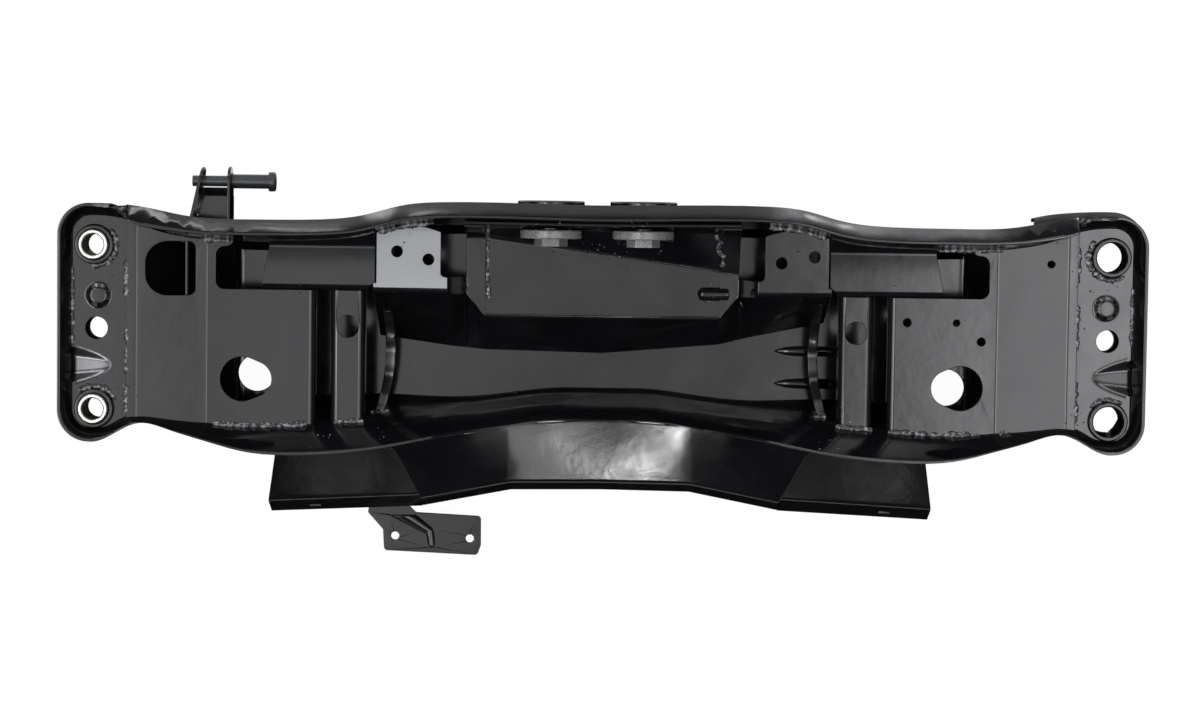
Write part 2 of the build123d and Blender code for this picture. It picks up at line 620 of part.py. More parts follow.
def console(side):
    """Pad, web, step and lower strip pressed from one sheet."""
    sign = SIDES[side]
    x0, x1 = CONSOLE_X0, CONSOLE_X1
    edges = [
        Line((x0, CONSOLE_TAB_Y), (x0, CONSOLE_SHOULDER_Y)),
        ThreePointArc((x0, CONSOLE_SHOULDER_Y), ((x0 + x1) / 2, CONSOLE_TOP_Y), (x1, CONSOLE_SHOULDER_Y)),
        Polyline((x1, CONSOLE_SHOULDER_Y), (x1, PAD_LOW_Y), (STEP_X1, PAD_LOW_Y), (STEP_X1, CONSOLE_TAB_Y),
                 (x0, CONSOLE_TAB_Y)),
    ]
    face = make_face(edges)
    notch = [v for v in face.vertices() if abs(v.X - x0) < 0.1 and abs(v.Y - CONSOLE_TAB_Y) < 0.1]
    body = extrude(Pos(0, 0, CONSOLE_Z) * fillet(notch, SLOT_R), amount=-SHEET)
    sections = []
    for i in range(STEP_FACETS + 1):
        t = i / STEP_FACETS
        rise = t * t * (3 - 2 * t)
        top_z = SHELF_Z + SHEET + rise * (CONSOLE_Z - SHELF_Z - SHEET)
        top_y = SHELF_CORNER_Y + rise * (WEB_TOP_Y - SHELF_CORNER_Y)
        sections.append((STEP_X0 + t * (STEP_X1 - STEP_X0), top_y, top_z))
    sections.append((WEB_X1, WEB_TOP_Y, CONSOLE_Z))
    faces = []
    for x, top_y, top_z in sections:
        line = [(CONSOLE_TAB_Y, top_z), (top_y, top_z), web_line(sign * x, top_y, top_z)]
        faces.append(Plane.YZ.offset(x) * band(line, SHEET, BEND_R))
    past = [(x1, CONSOLE_TAB_Y), (WEB_X1, CONSOLE_TAB_Y), (WEB_X1, PAD_LOW_Y), (x1, PAD_LOW_Y)]
    body += loft(faces, ruled=True) - plate(past, CONSOLE_Z)
    for x, y in CONSOLE_HOLES[side]:
        body -= drill(x, y, CONSOLE_HOLE_R)
    if sign < 0:
        body = mirror(body, about=Plane.YZ)
    body += strip(sign)
    if side == "right":
        body = press_bead(body, STRIP_INNER_X, RAIL_BEAD_X1, SHELF_Z)
    return body & CAVITY


def wall_y(rim, inward, x, z):
    """Y of the inner face of a long wall, where inward is 1 or -1 along Y."""
    stations = [(a, b, f) for a, b, f in mirrored(rim)]
    y = between([(a, b) for a, b, f in stations], x)
    f = between([(a, f) for a, b, f in stations], x)
    return y + inward * (f * between(WALL_STEPS, z) + WALL_RUN)


def front_rail():
    """Inner sheet with flange, ramp, shelf and web, between the consoles."""
    sections = []
    for x in (-STEP_X0, -STRIP_INNER_X, 0, STRIP_INNER_X, STEP_X0):
        lip_y = SHELF_LIP_Y if abs(x) <= STRIP_INNER_X else SHELF_CORNER_Y
        line = rail_line(x) + [(lip_y, SHELF_Z), web_line(x, lip_y, SHELF_Z)]
        sections.append(Plane.YZ.offset(x) * band(line, SHEET, RAIL_BEND_R))
    rail = loft(sections, ruled=True) & CAVITY
    rail = press_bead(rail, RAIL_BEAD_X0 - RAIL_BEAD_R, STRIP_INNER_X, SHELF_Z - SHEET)
    rail -= rail_bead(RAIL_BEAD_R) & Pos(STRIP_INNER_X + RIM_Z / 2, 0, RIM_Z / 2) * Box(RIM_Z, RIM_Z, RIM_Z)
    rear = WASHER_Y - WASHER_T
    for side in SIDES:
        rail -= drill_y(BOSS_X[side], BOSS_Z, WASHER_R + CLEARANCE, rear - CLEARANCE, WASHER_Y)
        nut_reach = BOSS_NUT_FLAT / 2 + 3 * CLEARANCE
        rail -= drill_y(BOSS_X[side], BOSS_Z, nut_reach, rear - BOSS_NUT_T - CLEARANCE, rear)
        rail -= drill_y(BOSS_X[side], BOSS_Z, BOSS_R, 0, BOSS_DISC_Y)
    return rail


def boss(side):
    """Flanged sleeve through the front wall."""
    x = BOSS_X[side]
    tube = drill_y(x, BOSS_Z, BOSS_R, WASHER_Y, BOSS_DISC_Y + BOSS_DISC_T)
    disc = drill_y(x, BOSS_Z, BOSS_DISC_R, BOSS_DISC_Y, BOSS_DISC_Y + BOSS_DISC_T)
    disc = chamfer(disc.edges().filter_by(GeomType.CIRCLE), EDGE_BREAK)
    return tube + disc - drill_y(x, BOSS_Z, BOSS_BORE_R, 0, RIM_Z + BOSS_DISC_Y)


def boss_washer(side):
    x = BOSS_X[side]
    disc = drill_y(x, BOSS_Z, WASHER_R, WASHER_Y - WASHER_T, WASHER_Y)
    disc = chamfer(disc.edges().filter_by(GeomType.CIRCLE), EDGE_BREAK)
    return disc - drill_y(x, BOSS_Z, BOSS_BORE_R, 0, RIM_Z)


def boss_nuts():
    """Nuts on the inner ends of the two bosses."""
    nuts = []
    for side in SIDES:
        hexagon = RegularPolygon(BOSS_NUT_FLAT / 2, 6, major_radius=False) - Circle(BOSS_BORE_R)
        seat = Plane.XZ.offset(-(WASHER_Y - WASHER_T)) * Pos(BOSS_X[side], BOSS_Z) * hexagon
        nuts.append(extrude(seat, amount=BOSS_NUT_T))
    return Compound(children=nuts)


def rib(side):
    """Curved bulkhead with a sagging top edge, from the console web to the rear wall."""
    curve = Spline(*RIB_LINE)
    strip = make_face([curve, Line(curve @ 1, curve @ 1 + Vector(SHEET, 0)), Pos(SHEET, 0) * curve,
                       Line(curve @ 0 + Vector(SHEET, 0), curve @ 0)])
    wall = extrude(strip, amount=RIM_Z)
    front_y, rear_y = RIB_LINE[0][1], RIB_LINE[-1][1]
    sag = [(rear_y + RIB_SAG_LEAD, RIB_LOW_Z), (front_y - RIB_SAG_LEAD, RIB_LOW_Z)]
    top = Bezier((rear_y, RIB_REAR_Z), *sag, (front_y, RIB_FRONT_Z))
    rest = Polyline((front_y, RIB_FRONT_Z), (front_y, 0), (rear_y, 0), (rear_y, RIB_REAR_Z))
    face = make_face([top, rest])
    wall &= across(face, 0, HALF_LENGTH)
    wall -= ahead_of_web(side)
    if side == "left":
        wall = mirror(wall, about=Plane.YZ)
    return wall & CAVITY


def flap():
    """Right rear flap with a turned-down lip."""
    sections = []
    for x, lip_y, lip_z in FLAP_STATIONS:
        line = [(FLAP_ROOT_Y, FLAP_ROOT_Z), (lip_y, lip_z), (lip_y - FLAP_LIP_OUT, lip_z - FLAP_LIP_DROP)]
        sections.append(Plane.YZ.offset(x) * band(line, SHEET, FLAP_BEND_R))
    sheet = loft(sections, ruled=True)
    x0 = FLAP_STATIONS[0][0]
    x1, lip_y, lip_z = FLAP_STATIONS[-1]
    far_y = 2 * lip_y
    trim = [
        (x0, 0), (x1 - FLAP_SLANT, 0), (x1 - FLAP_SLANT, REAR_END_Y - SHEET), (x1, lip_y),
        (x1, far_y), (x0, far_y),
    ]
    slot = Pos(FLAP_SLOT_X, lip_y, lip_z - FLAP_LIP_DROP / 2) * Box(
        FLAP_SLOT_LENGTH, 3 * FLAP_LIP_OUT, FLAP_SLOT_HEIGHT)
    return (sheet & plate(trim, RIM_Z, RIM_Z - FLAP_LOW_Z)) - OUTER - slot


def hose_bracket():
    """Flat plate under the lip of the left flap, with a tapering pressed bead."""
    face = make_face(Polyline(*HOSE_OUTLINE, close=True))
    outer = [v for v in face.vertices() if v.Y < HOSE_HOLES[0][1] or v.X > HOSE_HOLES[1][0]]
    body = extrude(Pos(0, 0, FLAP_LOW_Z) * fillet(outer, HOSE_CORNER_R), amount=-SHEET)
    (x0, y0), (x1, y1), (x2, y2) = HOSE_BEAD
    run = hypot(x1 - x0, y1 - y0)
    turn = degrees(atan2(y1 - y0, x1 - x0))
    bead = Rot(0, 0, turn) * Rot(0, 90, 0) * Cone(HOSE_BEAD_R0, HOSE_BEAD_R1, run)
    bead = Pos((x0 + x1) / 2, (y0 + y1) / 2) * bead
    bead += Pos(x1, y1) * Sphere(HOSE_BEAD_R1)
    bead += Pos(x2, y2) * Sphere(HOSE_BEAD_R1)
    tail = hypot(x2 - x1, y2 - y1)
    hook = degrees(atan2(y2 - y1, x2 - x1))
    tail_bar = Rot(0, 0, hook) * Rot(0, 90, 0) * Cylinder(HOSE_BEAD_R1, tail)
    bead += Pos((x1 + x2) / 2, (y1 + y2) / 2) * tail_bar
    size = 2 * HALF_LENGTH
    above = Pos(0, HOSE_BEAD_Y - HALF_LENGTH, HALF_LENGTH) * Box(size, size, size)
    body += (Pos(0, 0, FLAP_LOW_Z - HOSE_BEAD_SINK) * bead) & (Pos(0, 0, FLAP_LOW_Z - SHEET / 2) * above)
    for x, y in HOSE_HOLES:
        body -= drill(x, y, HOSE_HOLE_R)
    return body


def hanger_bracket():
    """Open channel of two ears and a floor, on the front wall at the left."""
    tip = Pos(HANGER_PIN_Y, HANGER_PIN_Z) * Circle(HANGER_TIP_R)
    root = Pos(HANGER_ROOT_Y, HANGER_PIN_Z) * Rectangle(SHEET, 2 * HANGER_TIP_R + 2 * SHEET)
    ear = make_hull(tip.edges() + root.edges())
    right = across(ear, HANGER_EAR_X1 - SHEET, HANGER_EAR_X1)
    left = Pos(HANGER_EAR_X0, HANGER_PIN_Y) * Rot(0, 0, -HANGER_LEAN) * Pos(-HANGER_EAR_X0, -HANGER_PIN_Y)
    left = left * across(ear, HANGER_EAR_X0, HANGER_EAR_X0 + SHEET)
    low = HANGER_PIN_Z - HANGER_TIP_R - SHEET
    spread = (HANGER_PIN_Y - HANGER_ROOT_Y) * tan(radians(HANGER_LEAN))
    base = plate([(HANGER_EAR_X0 - spread, HANGER_ROOT_Y), (HANGER_EAR_X1, HANGER_ROOT_Y),
                  (HANGER_EAR_X1, HANGER_BASE_Y), (HANGER_EAR_X0 + SHEET, HANGER_BASE_Y)], low + SHEET)
    body = left + right + base - OUTER
    bore = Pos(HANGER_EAR_X0, HANGER_PIN_Y, HANGER_PIN_Z) * Rot(0, 90, 0) * Cylinder(HANGER_SHANK_R, RIM_Z)
    return body - bore


def hanger_pin():
    """Shouldered pin through both ears, with a flared head."""
    x0 = HANGER_EAR_X0 - HANGER_HEAD_T
    steps = [
        (x0, HANGER_EAR_X1, HANGER_SHANK_R), (HANGER_EAR_X1, HANGER_PIN_END_X, HANGER_PIN_R),
        (HANGER_PIN_END_X - HANGER_HEAD_T, HANGER_PIN_END_X, HANGER_HEAD_R),
    ]
    pin = None
    for a, b, r in steps:
        piece = Pos((a + b) / 2, HANGER_PIN_Y, HANGER_PIN_Z) * Rot(0, 90, 0) * Cylinder(r, b - a)
        pin = piece if pin is None else pin + piece
    return chamfer(pin.edges().filter_by(GeomType.CIRCLE).group_by(Axis.X)[-1], EDGE_BREAK)


def edge_bracket():
    """Narrow flanged plate round the outside of the front right corner."""
    out = -EDGE_BRACKET_OUT
    ledge = extrude(outline(EDGE_BRACKET_Z, out, 0, out), amount=-SHEET)
    skirt = extrude(outline(EDGE_BRACKET_Z, out, 0, out), amount=-EDGE_BRACKET_DROP)
    skirt -= extrude(outline(EDGE_BRACKET_Z, out + SHEET, SHEET, out + SHEET), amount=-EDGE_BRACKET_DROP)
    reach = plate([(EDGE_BRACKET_X0, EDGE_BRACKET_Y0), (2 * HALF_LENGTH, EDGE_BRACKET_Y0),
                   (2 * HALF_LENGTH, RIM_Z), (EDGE_BRACKET_X0, RIM_Z)], RIM_Z, RIM_Z)
    return ((ledge + skirt) & reach) - OUTER


def on_left(shape):
    return mirror(shape, about=Plane.YZ)


def all_nodes():
    """Every separate piece, by name, in the drawing frame."""
    wall = front_wall()
    nodes = {"floor_pan": floor_pan(), "apron": apron(), "rear_wall": WALLS & half_space(-1)}
    nodes["front_wall"] = wall - beyond(1, WALL_SEAM_X) - beyond(-1, WALL_SEAM_X)
    for side, sign in SIDES.items():
        turn = on_left if sign < 0 else (lambda shape: shape)
        nodes[side + "_end_floor"] = end_floor(sign)
        nodes[side + "_end_wall"] = WALLS & beyond(sign, SHELL_SEAM_X)
        nodes[side + "_front_wall"] = wall & beyond(sign, WALL_SEAM_X)
        nodes[side + "_end_plate"] = turn(end_plate())
        nodes[side + "_closing_plate"] = turn(closing_plate(side))
        nodes[side + "_baffle"] = turn(baffle())
        nodes[side + "_spring_bridge"] = turn(bridge())
        nodes[side + "_wing"] = turn(wing())
        nodes[side + "_rear_flap"] = turn(flap())
        nodes[side + "_front_collar"] = collar(sign, FRONT_BORE_Y)
        nodes[side + "_rear_collar"] = collar(sign, REAR_BORE_Y)
        nodes[side + "_console"] = console(side)
        nodes[side + "_rack_boss"] = boss(side)
        nodes[side + "_boss_washer"] = boss_washer(side)
        nodes[side + "_rib"] = rib(side)
    nodes["left_front_sleeve"] = sleeve(-1, FRONT_BORE_Y)
    nodes["left_rear_sleeve"] = sleeve(-1, REAR_BORE_Y)
    nodes["front_rail"] = front_rail()
    nodes["boss_nuts"] = boss_nuts()
    nodes["weld_nuts"] = weld_nuts()
    nodes["hose_bracket"] = hose_bracket()
    nodes["hanger_bracket"] = hanger_bracket()
    nodes["hanger_pin"] = hanger_pin()
    nodes["edge_bracket"] = edge_bracket()
    return nodes


os.makedirs("parts", exist_ok=True)
NODES = all_nodes()
boxes = [shape.bounding_box() for shape in NODES.values()]
middle_y = (min(b.min.Y for b in boxes) + max(b.max.Y for b in boxes)) / 2
middle_x = (min(b.min.X for b in boxes) + max(b.max.X for b in boxes)) / 2
low_z = min(b.min.Z for b in boxes)
print("origin in the drawing frame:", round(middle_x, 4), round(middle_y, 4), round(low_z, 4))
for name, shape in NODES.items():
    export_step(Pos(-middle_x, -middle_y, -low_z) * shape, "parts/" + name + ".step")
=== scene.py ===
"""Finish of a pressed and welded front axle subframe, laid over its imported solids."""

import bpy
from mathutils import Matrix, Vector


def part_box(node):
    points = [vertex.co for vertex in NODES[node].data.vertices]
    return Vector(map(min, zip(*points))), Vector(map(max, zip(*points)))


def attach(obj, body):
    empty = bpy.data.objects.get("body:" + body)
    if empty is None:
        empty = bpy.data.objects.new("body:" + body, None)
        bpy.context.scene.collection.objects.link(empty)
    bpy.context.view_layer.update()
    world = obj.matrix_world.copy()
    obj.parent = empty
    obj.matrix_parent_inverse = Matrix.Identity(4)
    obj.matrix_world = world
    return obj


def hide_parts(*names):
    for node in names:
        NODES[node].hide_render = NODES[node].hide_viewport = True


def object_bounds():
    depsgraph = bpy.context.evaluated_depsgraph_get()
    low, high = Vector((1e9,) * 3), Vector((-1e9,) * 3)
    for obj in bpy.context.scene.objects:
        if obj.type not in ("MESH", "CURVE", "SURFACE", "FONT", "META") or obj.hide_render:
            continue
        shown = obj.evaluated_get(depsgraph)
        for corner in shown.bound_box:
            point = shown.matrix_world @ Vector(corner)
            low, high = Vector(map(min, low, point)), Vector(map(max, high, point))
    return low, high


bl_info = {
    "name": "Front subframe finish",
    "version": (1, 0, 0),
    "blender": (4, 5, 0),
    "location": "View3D > Sidebar > Subframe",
    "description": "Paints, welds and lights a pressed sheet steel subframe over its packed solids",
    "category": "Object",
}

import random
from math import cos, pi, radians, sin

import bmesh
import bpy
from bpy.props import FloatProperty, FloatVectorProperty, IntProperty, PointerProperty
from bpy.types import Operator, Panel, PropertyGroup
from mathutils import Matrix, Vector
from mathutils.bvhtree import BVHTree
from mathutils.interpolate import poly_3d_calc

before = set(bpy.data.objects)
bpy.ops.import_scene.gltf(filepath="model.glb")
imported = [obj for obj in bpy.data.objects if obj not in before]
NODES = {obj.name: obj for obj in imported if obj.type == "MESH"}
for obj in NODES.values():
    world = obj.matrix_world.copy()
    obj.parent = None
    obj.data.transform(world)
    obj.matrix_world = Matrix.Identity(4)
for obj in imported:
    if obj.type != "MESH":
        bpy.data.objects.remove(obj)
CAD_BOX = [list(corner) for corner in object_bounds()]
MM = 0.001
SIDES = ("left", "right")

# Places of the drawing in millimetres, X along the beam, Y to the front, Z up.
# The drawing has its front bores at Y = 79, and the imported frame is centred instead.
FRONT_BORE_Y = 79.0
REAR_BORE_Y = -76.3
BORE_X = 480.5
END_PLATE_Z = 120.0
FLARE_Z = 118.0
RIM_Z = 138.0
ABOVE = 200.0
DOWN = Vector((0, 0, -1))
SHIFT_Y = sum(corner.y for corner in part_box("left_front_sleeve")) / 2 - FRONT_BORE_Y * MM

SHELL_NODES = ["floor_pan", "front_wall", "rear_wall", "apron"]
SHELL_NODES += [side + part for side in SIDES for part in ("_front_wall", "_end_floor", "_end_wall")]
WALL_NODES = [name for name in SHELL_NODES if name.endswith("wall")]
SHEET_NODES = [side + part for side in SIDES for part in (
    "_end_plate", "_closing_plate", "_baffle", "_spring_bridge", "_wing", "_rear_flap", "_console", "_rib")]
SHEET_NODES += ["front_rail", "hose_bracket", "hanger_bracket", "edge_bracket"]
TURNED_NODES = [side + part for side in SIDES for part in (
    "_front_collar", "_rear_collar", "_rack_boss", "_boss_washer")]
TURNED_NODES += ["boss_nuts", "weld_nuts"]

# Angle in degrees up to which neighbouring triangles of a sheet are one flat face
FLAT_ANGLE = 0.03
# How far a rounded edge may lie off its packed sheet
OFF_SHEET = 1.6
# Y behind which a face belongs to the apron, the bends between two of its panels, and the Y and the X that
# its even shading reaches
APRON_START = -78
CREASES = (-171.0, -85.5, 85.5, 171.0)
APRON_Y = (-132, -84)
APRON_X = 170
# Brim of the front wall where it runs out over an end wall: first X, length, how far in, how far down
BRIM_X, BRIM_RUN, BRIM_IN, BRIM_DOWN = 447.0, 40.0, 12.0, 6.5
# Scoop of an end plate: its Y, X of its nose and its outer end, half width, depth, points each way
SCOOP_Y, SCOOP_NOSE, SCOOP_END, SCOOP_HALF, SCOOP_DEPTH, SCOOP_POINTS = -35.0, 462.0, 498.5, 20.5, 3.0, 33
# Flat of a wing: Y where it starts to fall and how far it falls on, and how fast
WING_Y, WING_RUN, WING_FALL = 44.0, 36.0, 0.0012

# Seams between a plate and a wall: height, towards which wall, X from and to, width of the bead
WALL_SEAMS = (
    (96.0, 1, -408.0, -356.0, 5.0), (99.5, -1, -433.0, -396.0, 5.5), (95.5, -1, -370.0, -284.0, 6.0),
    (94.0, -1, -254.0, -229.0, 5.0), (94.0, -1, 228.0, 259.0, 5.5), (95.5, -1, 276.0, 364.0, 6.0),
    (99.5, -1, 383.0, 441.0, 6.0), (96.5, 1, 322.0, 444.0, 4.5), (102.5, 1, -212.0, -160.0, 5.0),
    (102.5, 1, 160.0, 212.0, 5.0), (60.0, -1, -222.0, -207.0, 4.0), (60.0, -1, 207.0, 221.0, 4.0),
)
# Seams down the end walls: side, then Y from and to
END_SEAMS = ((-1, 57.0, -17.0), (1, 49.0, -3.0))
# Seams along the flange of each closing plate: X, then Y from and to
FLANGE_SEAMS = (
    (-450.0, 62.0, 34.0), (-449.5, -2.0, -41.0), (449.5, 86.0, 56.0), (449.5, 31.0, -8.0),
    (449.5, -41.0, -77.0), (-449.5, -54.0, -78.0),
)
# Fillets round the collars: side, Y of the bore, radius, then angle from and to
COLLAR_SEAMS = (
    (-1, FRONT_BORE_Y, 20.5, 38, -90), (-1, REAR_BORE_Y, 21.0, 124, 24), (1, FRONT_BORE_Y, 21.0, -132, -58),
    (1, FRONT_BORE_Y, 22.0, 142, 210), (1, REAR_BORE_Y, 21.0, 137, 57),
)
# Seams that lie on the front rail: X and Y of the points of each
RAIL_SEAMS = (
    ((-111.1, 97.0), (-112.0, 78.0), (-111.5, 54.0), (-110.0, 28.0)),
    ((108.0, 94.0), (113.5, 87.5), (110.0, 81.0), (117.0, 73.5), (115.5, 66.0)),
)
# Beads pressed up from the deep floor, right: their Y, then X, half width and height of each ring
FLOOR_BEADS = (-20.0, -52.0)
BEAD_RINGS = (
    (170.0, 0.4, 0.4), (174.0, 2.2, 2.5), (182.0, 4.2, 4.8), (192.0, 5.2, 5.8), (224.0, 5.2, 5.8),
    (229.0, 4.0, 4.4), (232.0, 1.0, 1.0),
)
# Web between the ears of the hanger: X from and to, Y and height
HANGER_WEB = (
    (-393.5, -357.5, 108.0, 66.0), (-391.0, -357.5, 120.0, 64.2), (-389.5, -357.5, 134.0, 60.0),
)
# Where spatter lies: X, Y, how far it reaches, how many
SPATTER = (
    (-8.0, 79.0, 14.0, 12), (20.0, 73.0, 16.0, 12), (-50.0, 92.0, 22.0, 18), (40.0, 90.0, 22.0, 18),
    (-405.0, 88.0, 16.0, 12), (-372.0, 82.0, 12.0, 8), (-470.0, 62.0, 16.0, 10), (472.0, 58.0, 16.0, 12),
    (448.0, 58.0, 10.0, 8), (450.0, -76.0, 10.0, 8), (-452.0, -64.0, 14.0, 12), (-478.0, -54.0, 12.0, 8),
    (243.0, -70.0, 14.0, 8), (-214.0, -104.0, 12.0, 8), (214.0, -104.0, 12.0, 8), (-268.0, -104.0, 12.0, 6),
    (-291.0, 40.0, 12.0, 6), (262.0, 40.0, 20.0, 8), (-190.0, 95.0, 20.0, 10), (190.0, 96.0, 20.0, 8),
    (360.0, 88.0, 24.0, 10), (420.0, 92.0, 18.0, 8), (452.0, 12.0, 12.0, 6), (100.0, 40.0, 12.0, 8),
)

# Light of the room by direction along X, and by direction along Y: direction, then level
ROOM_ROW = (
    (-0.85, 0.03), (-0.72, 0.2), (-0.64, 0.9), (-0.42, 0.9), (-0.36, 2.4), (-0.31, 2.4), (-0.25, 0.33),
    (-0.165, 0.45), (-0.15, 0.34), (-0.09, 0.4), (0.0, 0.26), (0.06, 0.28), (0.09, 0.33), (0.115, 0.8),
    (0.16, 1.5), (0.24, 0.6), (0.31, 0.9), (0.35, 0.9), (0.41, 0.5), (0.62, 0.5), (0.7, 0.12), (0.85, 0.03),
)
ROOM_DEPTH = (
    (-0.98, 0.01), (-0.43, 0.03), (-0.38, 0.2), (-0.36, 2.6), (-0.32, 2.6), (-0.29, 0.5), (-0.17, 0.8),
    (-0.12, 1.0), (0.04, 1.0), (0.12, 0.35), (0.24, 0.12), (0.28, 1.8), (0.31, 1.8), (0.35, 0.08),
    (0.72, 0.1), (0.79, 0.9), (0.89, 0.9), (0.97, 0.1),
)
# Small lamps, each where the sheet mirrors it: X and Y of that spot, width and height, share of brightness
HOT_SPOTS = (
    ("apron_lamp", 66, -101, (0.06, 0.05), 1.3),
    ("left_apron_lamp", -80, -108, (0.08, 0.2), 0.1),
    ("left_brim_lamp", -171, 112.5, (0.3, 0.1), 0.14),
    ("far_left_brim_lamp", -282, 100, (0.14, 0.06), 0.05),
    ("right_brim_lamp", 195, 113.5, (0.14, 0.12), 0.3),
    ("left_flap_lamp", -250, -135, (0.1, 0.06), 0.03),
    ("right_flap_lamp", 265, -140, (0.1, 0.06), 0.03),
)
# How far a small lamp hangs from its spot, and the far lamps in the corners of the room
LAMP_REACH = 2.6
CORNERS = ((-1.9, -2.1, 1.15), (1.9, -2.1, 1.15), (-1.9, 2.1, 1.15), (1.9, 2.1, 1.15))
CORNER_SIZE = (1.6, 0.9)
# The camera: its place in the drawing, its tilt and roll in degrees, its focal length and frame in pixels
EYE = (-1.469, 146.568, 2906.161)
EYE_TILT, EYE_ROLL = 3.5065, 0.78
FOCAL_PIXELS, FRAME_PIXELS, SENSOR = 2947, 1200, 36.0
# Index of refraction of a baked epoxy paint
PAINT_IOR = 1.52


def at(x, y, z):
    """A point of the drawing, in millimetres, as a point of the frame."""
    return Vector((x * MM, y * MM + SHIFT_Y, z * MM))


def colour(code):
    """An sRGB hex colour as linear RGB."""
    parts = [int(code[i:i + 2], 16) / 255 for i in (1, 3, 5)]
    return [c / 12.92 if c <= 0.04045 else ((c + 0.055) / 1.055) ** 2.4 for c in parts]


def add(tree, kind, inputs=(), **settings):
    """Add a node with its settings, and a value or a link for each input."""
    node = tree.nodes.new(kind)
    for key, value in settings.items():
        setattr(node, key, value)
    for key, value in dict(inputs).items():
        if isinstance(value, bpy.types.NodeSocket):
            tree.links.new(value, node.inputs[key])
        else:
            node.inputs[key].default_value = value
    return node


def noise(tree, where, size, detail=2.0, rough=0.5):
    """Cloudy noise, from 0 to 1, whose largest lumps are a size across in millimetres."""
    return add(tree, "ShaderNodeTexNoise", {"Vector": where, "Scale": 1 / (size * MM), "Detail": detail,
                                            "Roughness": rough}).outputs["Fac"]


def times(tree, first, second):
    """The product of two values."""
    return add(tree, "ShaderNodeMath", {0: first, 1: second}, operation="MULTIPLY").outputs[0]


def blend(tree, share, first, second):
    """Two linear RGB colours, mixed by a share of the second."""
    return add(tree, "ShaderNodeMix", {0: share, 6: (*first, 1.0), 7: (*second, 1.0)},
               data_type="RGBA").outputs[2]


def empty_material(name):
    """A material with no nodes yet, and its tree."""
    made = bpy.data.materials.new(name)
    made.use_nodes = True
    made.node_tree.nodes.clear()
    return made, made.node_tree


def dip_paint(name, deep, bloom, gloss, peel):
    """Black electrophoretic dip paint on pressed steel sheet: an even satin skin with fine orange peel,
    slightly greyer and duller where the bath ran off or dust has settled."""
    # Bath runs 55 mm, dust 1.6 mm, orange peel 2.6 mm and the sheet's own waves 24 mm across
    made, tree = empty_material(name)
    where = add(tree, "ShaderNodeTexCoord").outputs["Object"]
    run = noise(tree, where, 55, 5.0, 0.62)
    dust = noise(tree, where, 1.6)
    skin = noise(tree, where, 2.6, 1.5, 0.45)
    wave = noise(tree, where, 24)
    share = add(tree, "ShaderNodeMapRange", {"Value": times(tree, run, dust), "From Min": 0.18,
                                             "From Max": 0.42}).outputs[0]
    tint = blend(tree, share, deep, bloom)
    dull = add(tree, "ShaderNodeMapRange", {"Value": run, "From Min": 0.3, "From Max": 0.7,
                                            "To Min": gloss, "To Max": gloss + 0.08}).outputs[0]
    soft = add(tree, "ShaderNodeBump", {"Strength": peel, "Distance": 0.4 * MM, "Height": wave}).outputs[0]
    fine = add(tree, "ShaderNodeBump", {"Strength": peel, "Distance": 0.05 * MM, "Height": skin,
                                        "Normal": soft}).outputs[0]
    shade = add(tree, "ShaderNodeBsdfPrincipled", {"Base Color": tint, "Roughness": dull, "Normal": fine,
                                                   "IOR": PAINT_IOR}).outputs[0]
    add(tree, "ShaderNodeOutputMaterial", {"Surface": shade})
    return made


def painted_weld(deep, pale):
    """Black dip paint over an arc weld: glossier than the sheet, because the paint runs thin over the
    rounded ripples, with a grainy crust of silicate islands that shows paler."""
    # Islands 3.5 mm across. Their grain of 0.9 mm is coarser than real, so that it shows.
    made, tree = empty_material("painted_arc_weld")
    where = add(tree, "ShaderNodeTexCoord").outputs["Object"]
    crust = noise(tree, where, 3.5, 3.0)
    grain = noise(tree, where, 0.9)
    share = add(tree, "ShaderNodeMapRange", {"Value": crust, "From Min": 0.5, "From Max": 0.66}).outputs[0]
    tint = blend(tree, share, deep, pale)
    dull = add(tree, "ShaderNodeMapRange", {"Value": crust, "To Min": 0.16, "To Max": 0.5}).outputs[0]
    rough = add(tree, "ShaderNodeBump", {"Strength": 0.5, "Distance": 0.25 * MM, "Height": grain}).outputs[0]
    shade = add(tree, "ShaderNodeBsdfPrincipled", {"Base Color": tint, "Roughness": dull, "Normal": rough,
                                                   "IOR": PAINT_IOR}).outputs[0]
    add(tree, "ShaderNodeOutputMaterial", {"Surface": shade})
    return made


def turned_steel(bright, stained):
    """Turned bright steel, masked from the paint: rings of fine tool marks round each bore, with a faint
    warm stain left by oil."""
    # Oil stains 9 mm across. Real tool marks are 0.2 mm apart, and these are 6 mm, so that they show.
    made, tree = empty_material("turned_bright_steel")
    where = add(tree, "ShaderNodeTexCoord").outputs["Object"]
    stain = noise(tree, where, 9, 4.0)
    marks = add(tree, "ShaderNodeTexWave", {"Vector": where, "Scale": 1 / (6 * MM), "Distortion": 1.2,
                                            "Detail": 2.0}, bands_direction="Z").outputs["Fac"]
    tint = blend(tree, stain, bright, stained)
    dull = add(tree, "ShaderNodeMapRange", {"Value": stain, "To Min": 0.22, "To Max": 0.42}).outputs[0]
    cut = add(tree, "ShaderNodeBump", {"Strength": 0.25, "Distance": 0.06 * MM, "Height": marks}).outputs[0]
    shade = add(tree, "ShaderNodeBsdfPrincipled", {"Base Color": tint, "Metallic": 1.0, "Roughness": dull,
                                                   "Normal": cut}).outputs[0]
    add(tree, "ShaderNodeOutputMaterial", {"Surface": shade})
    return made


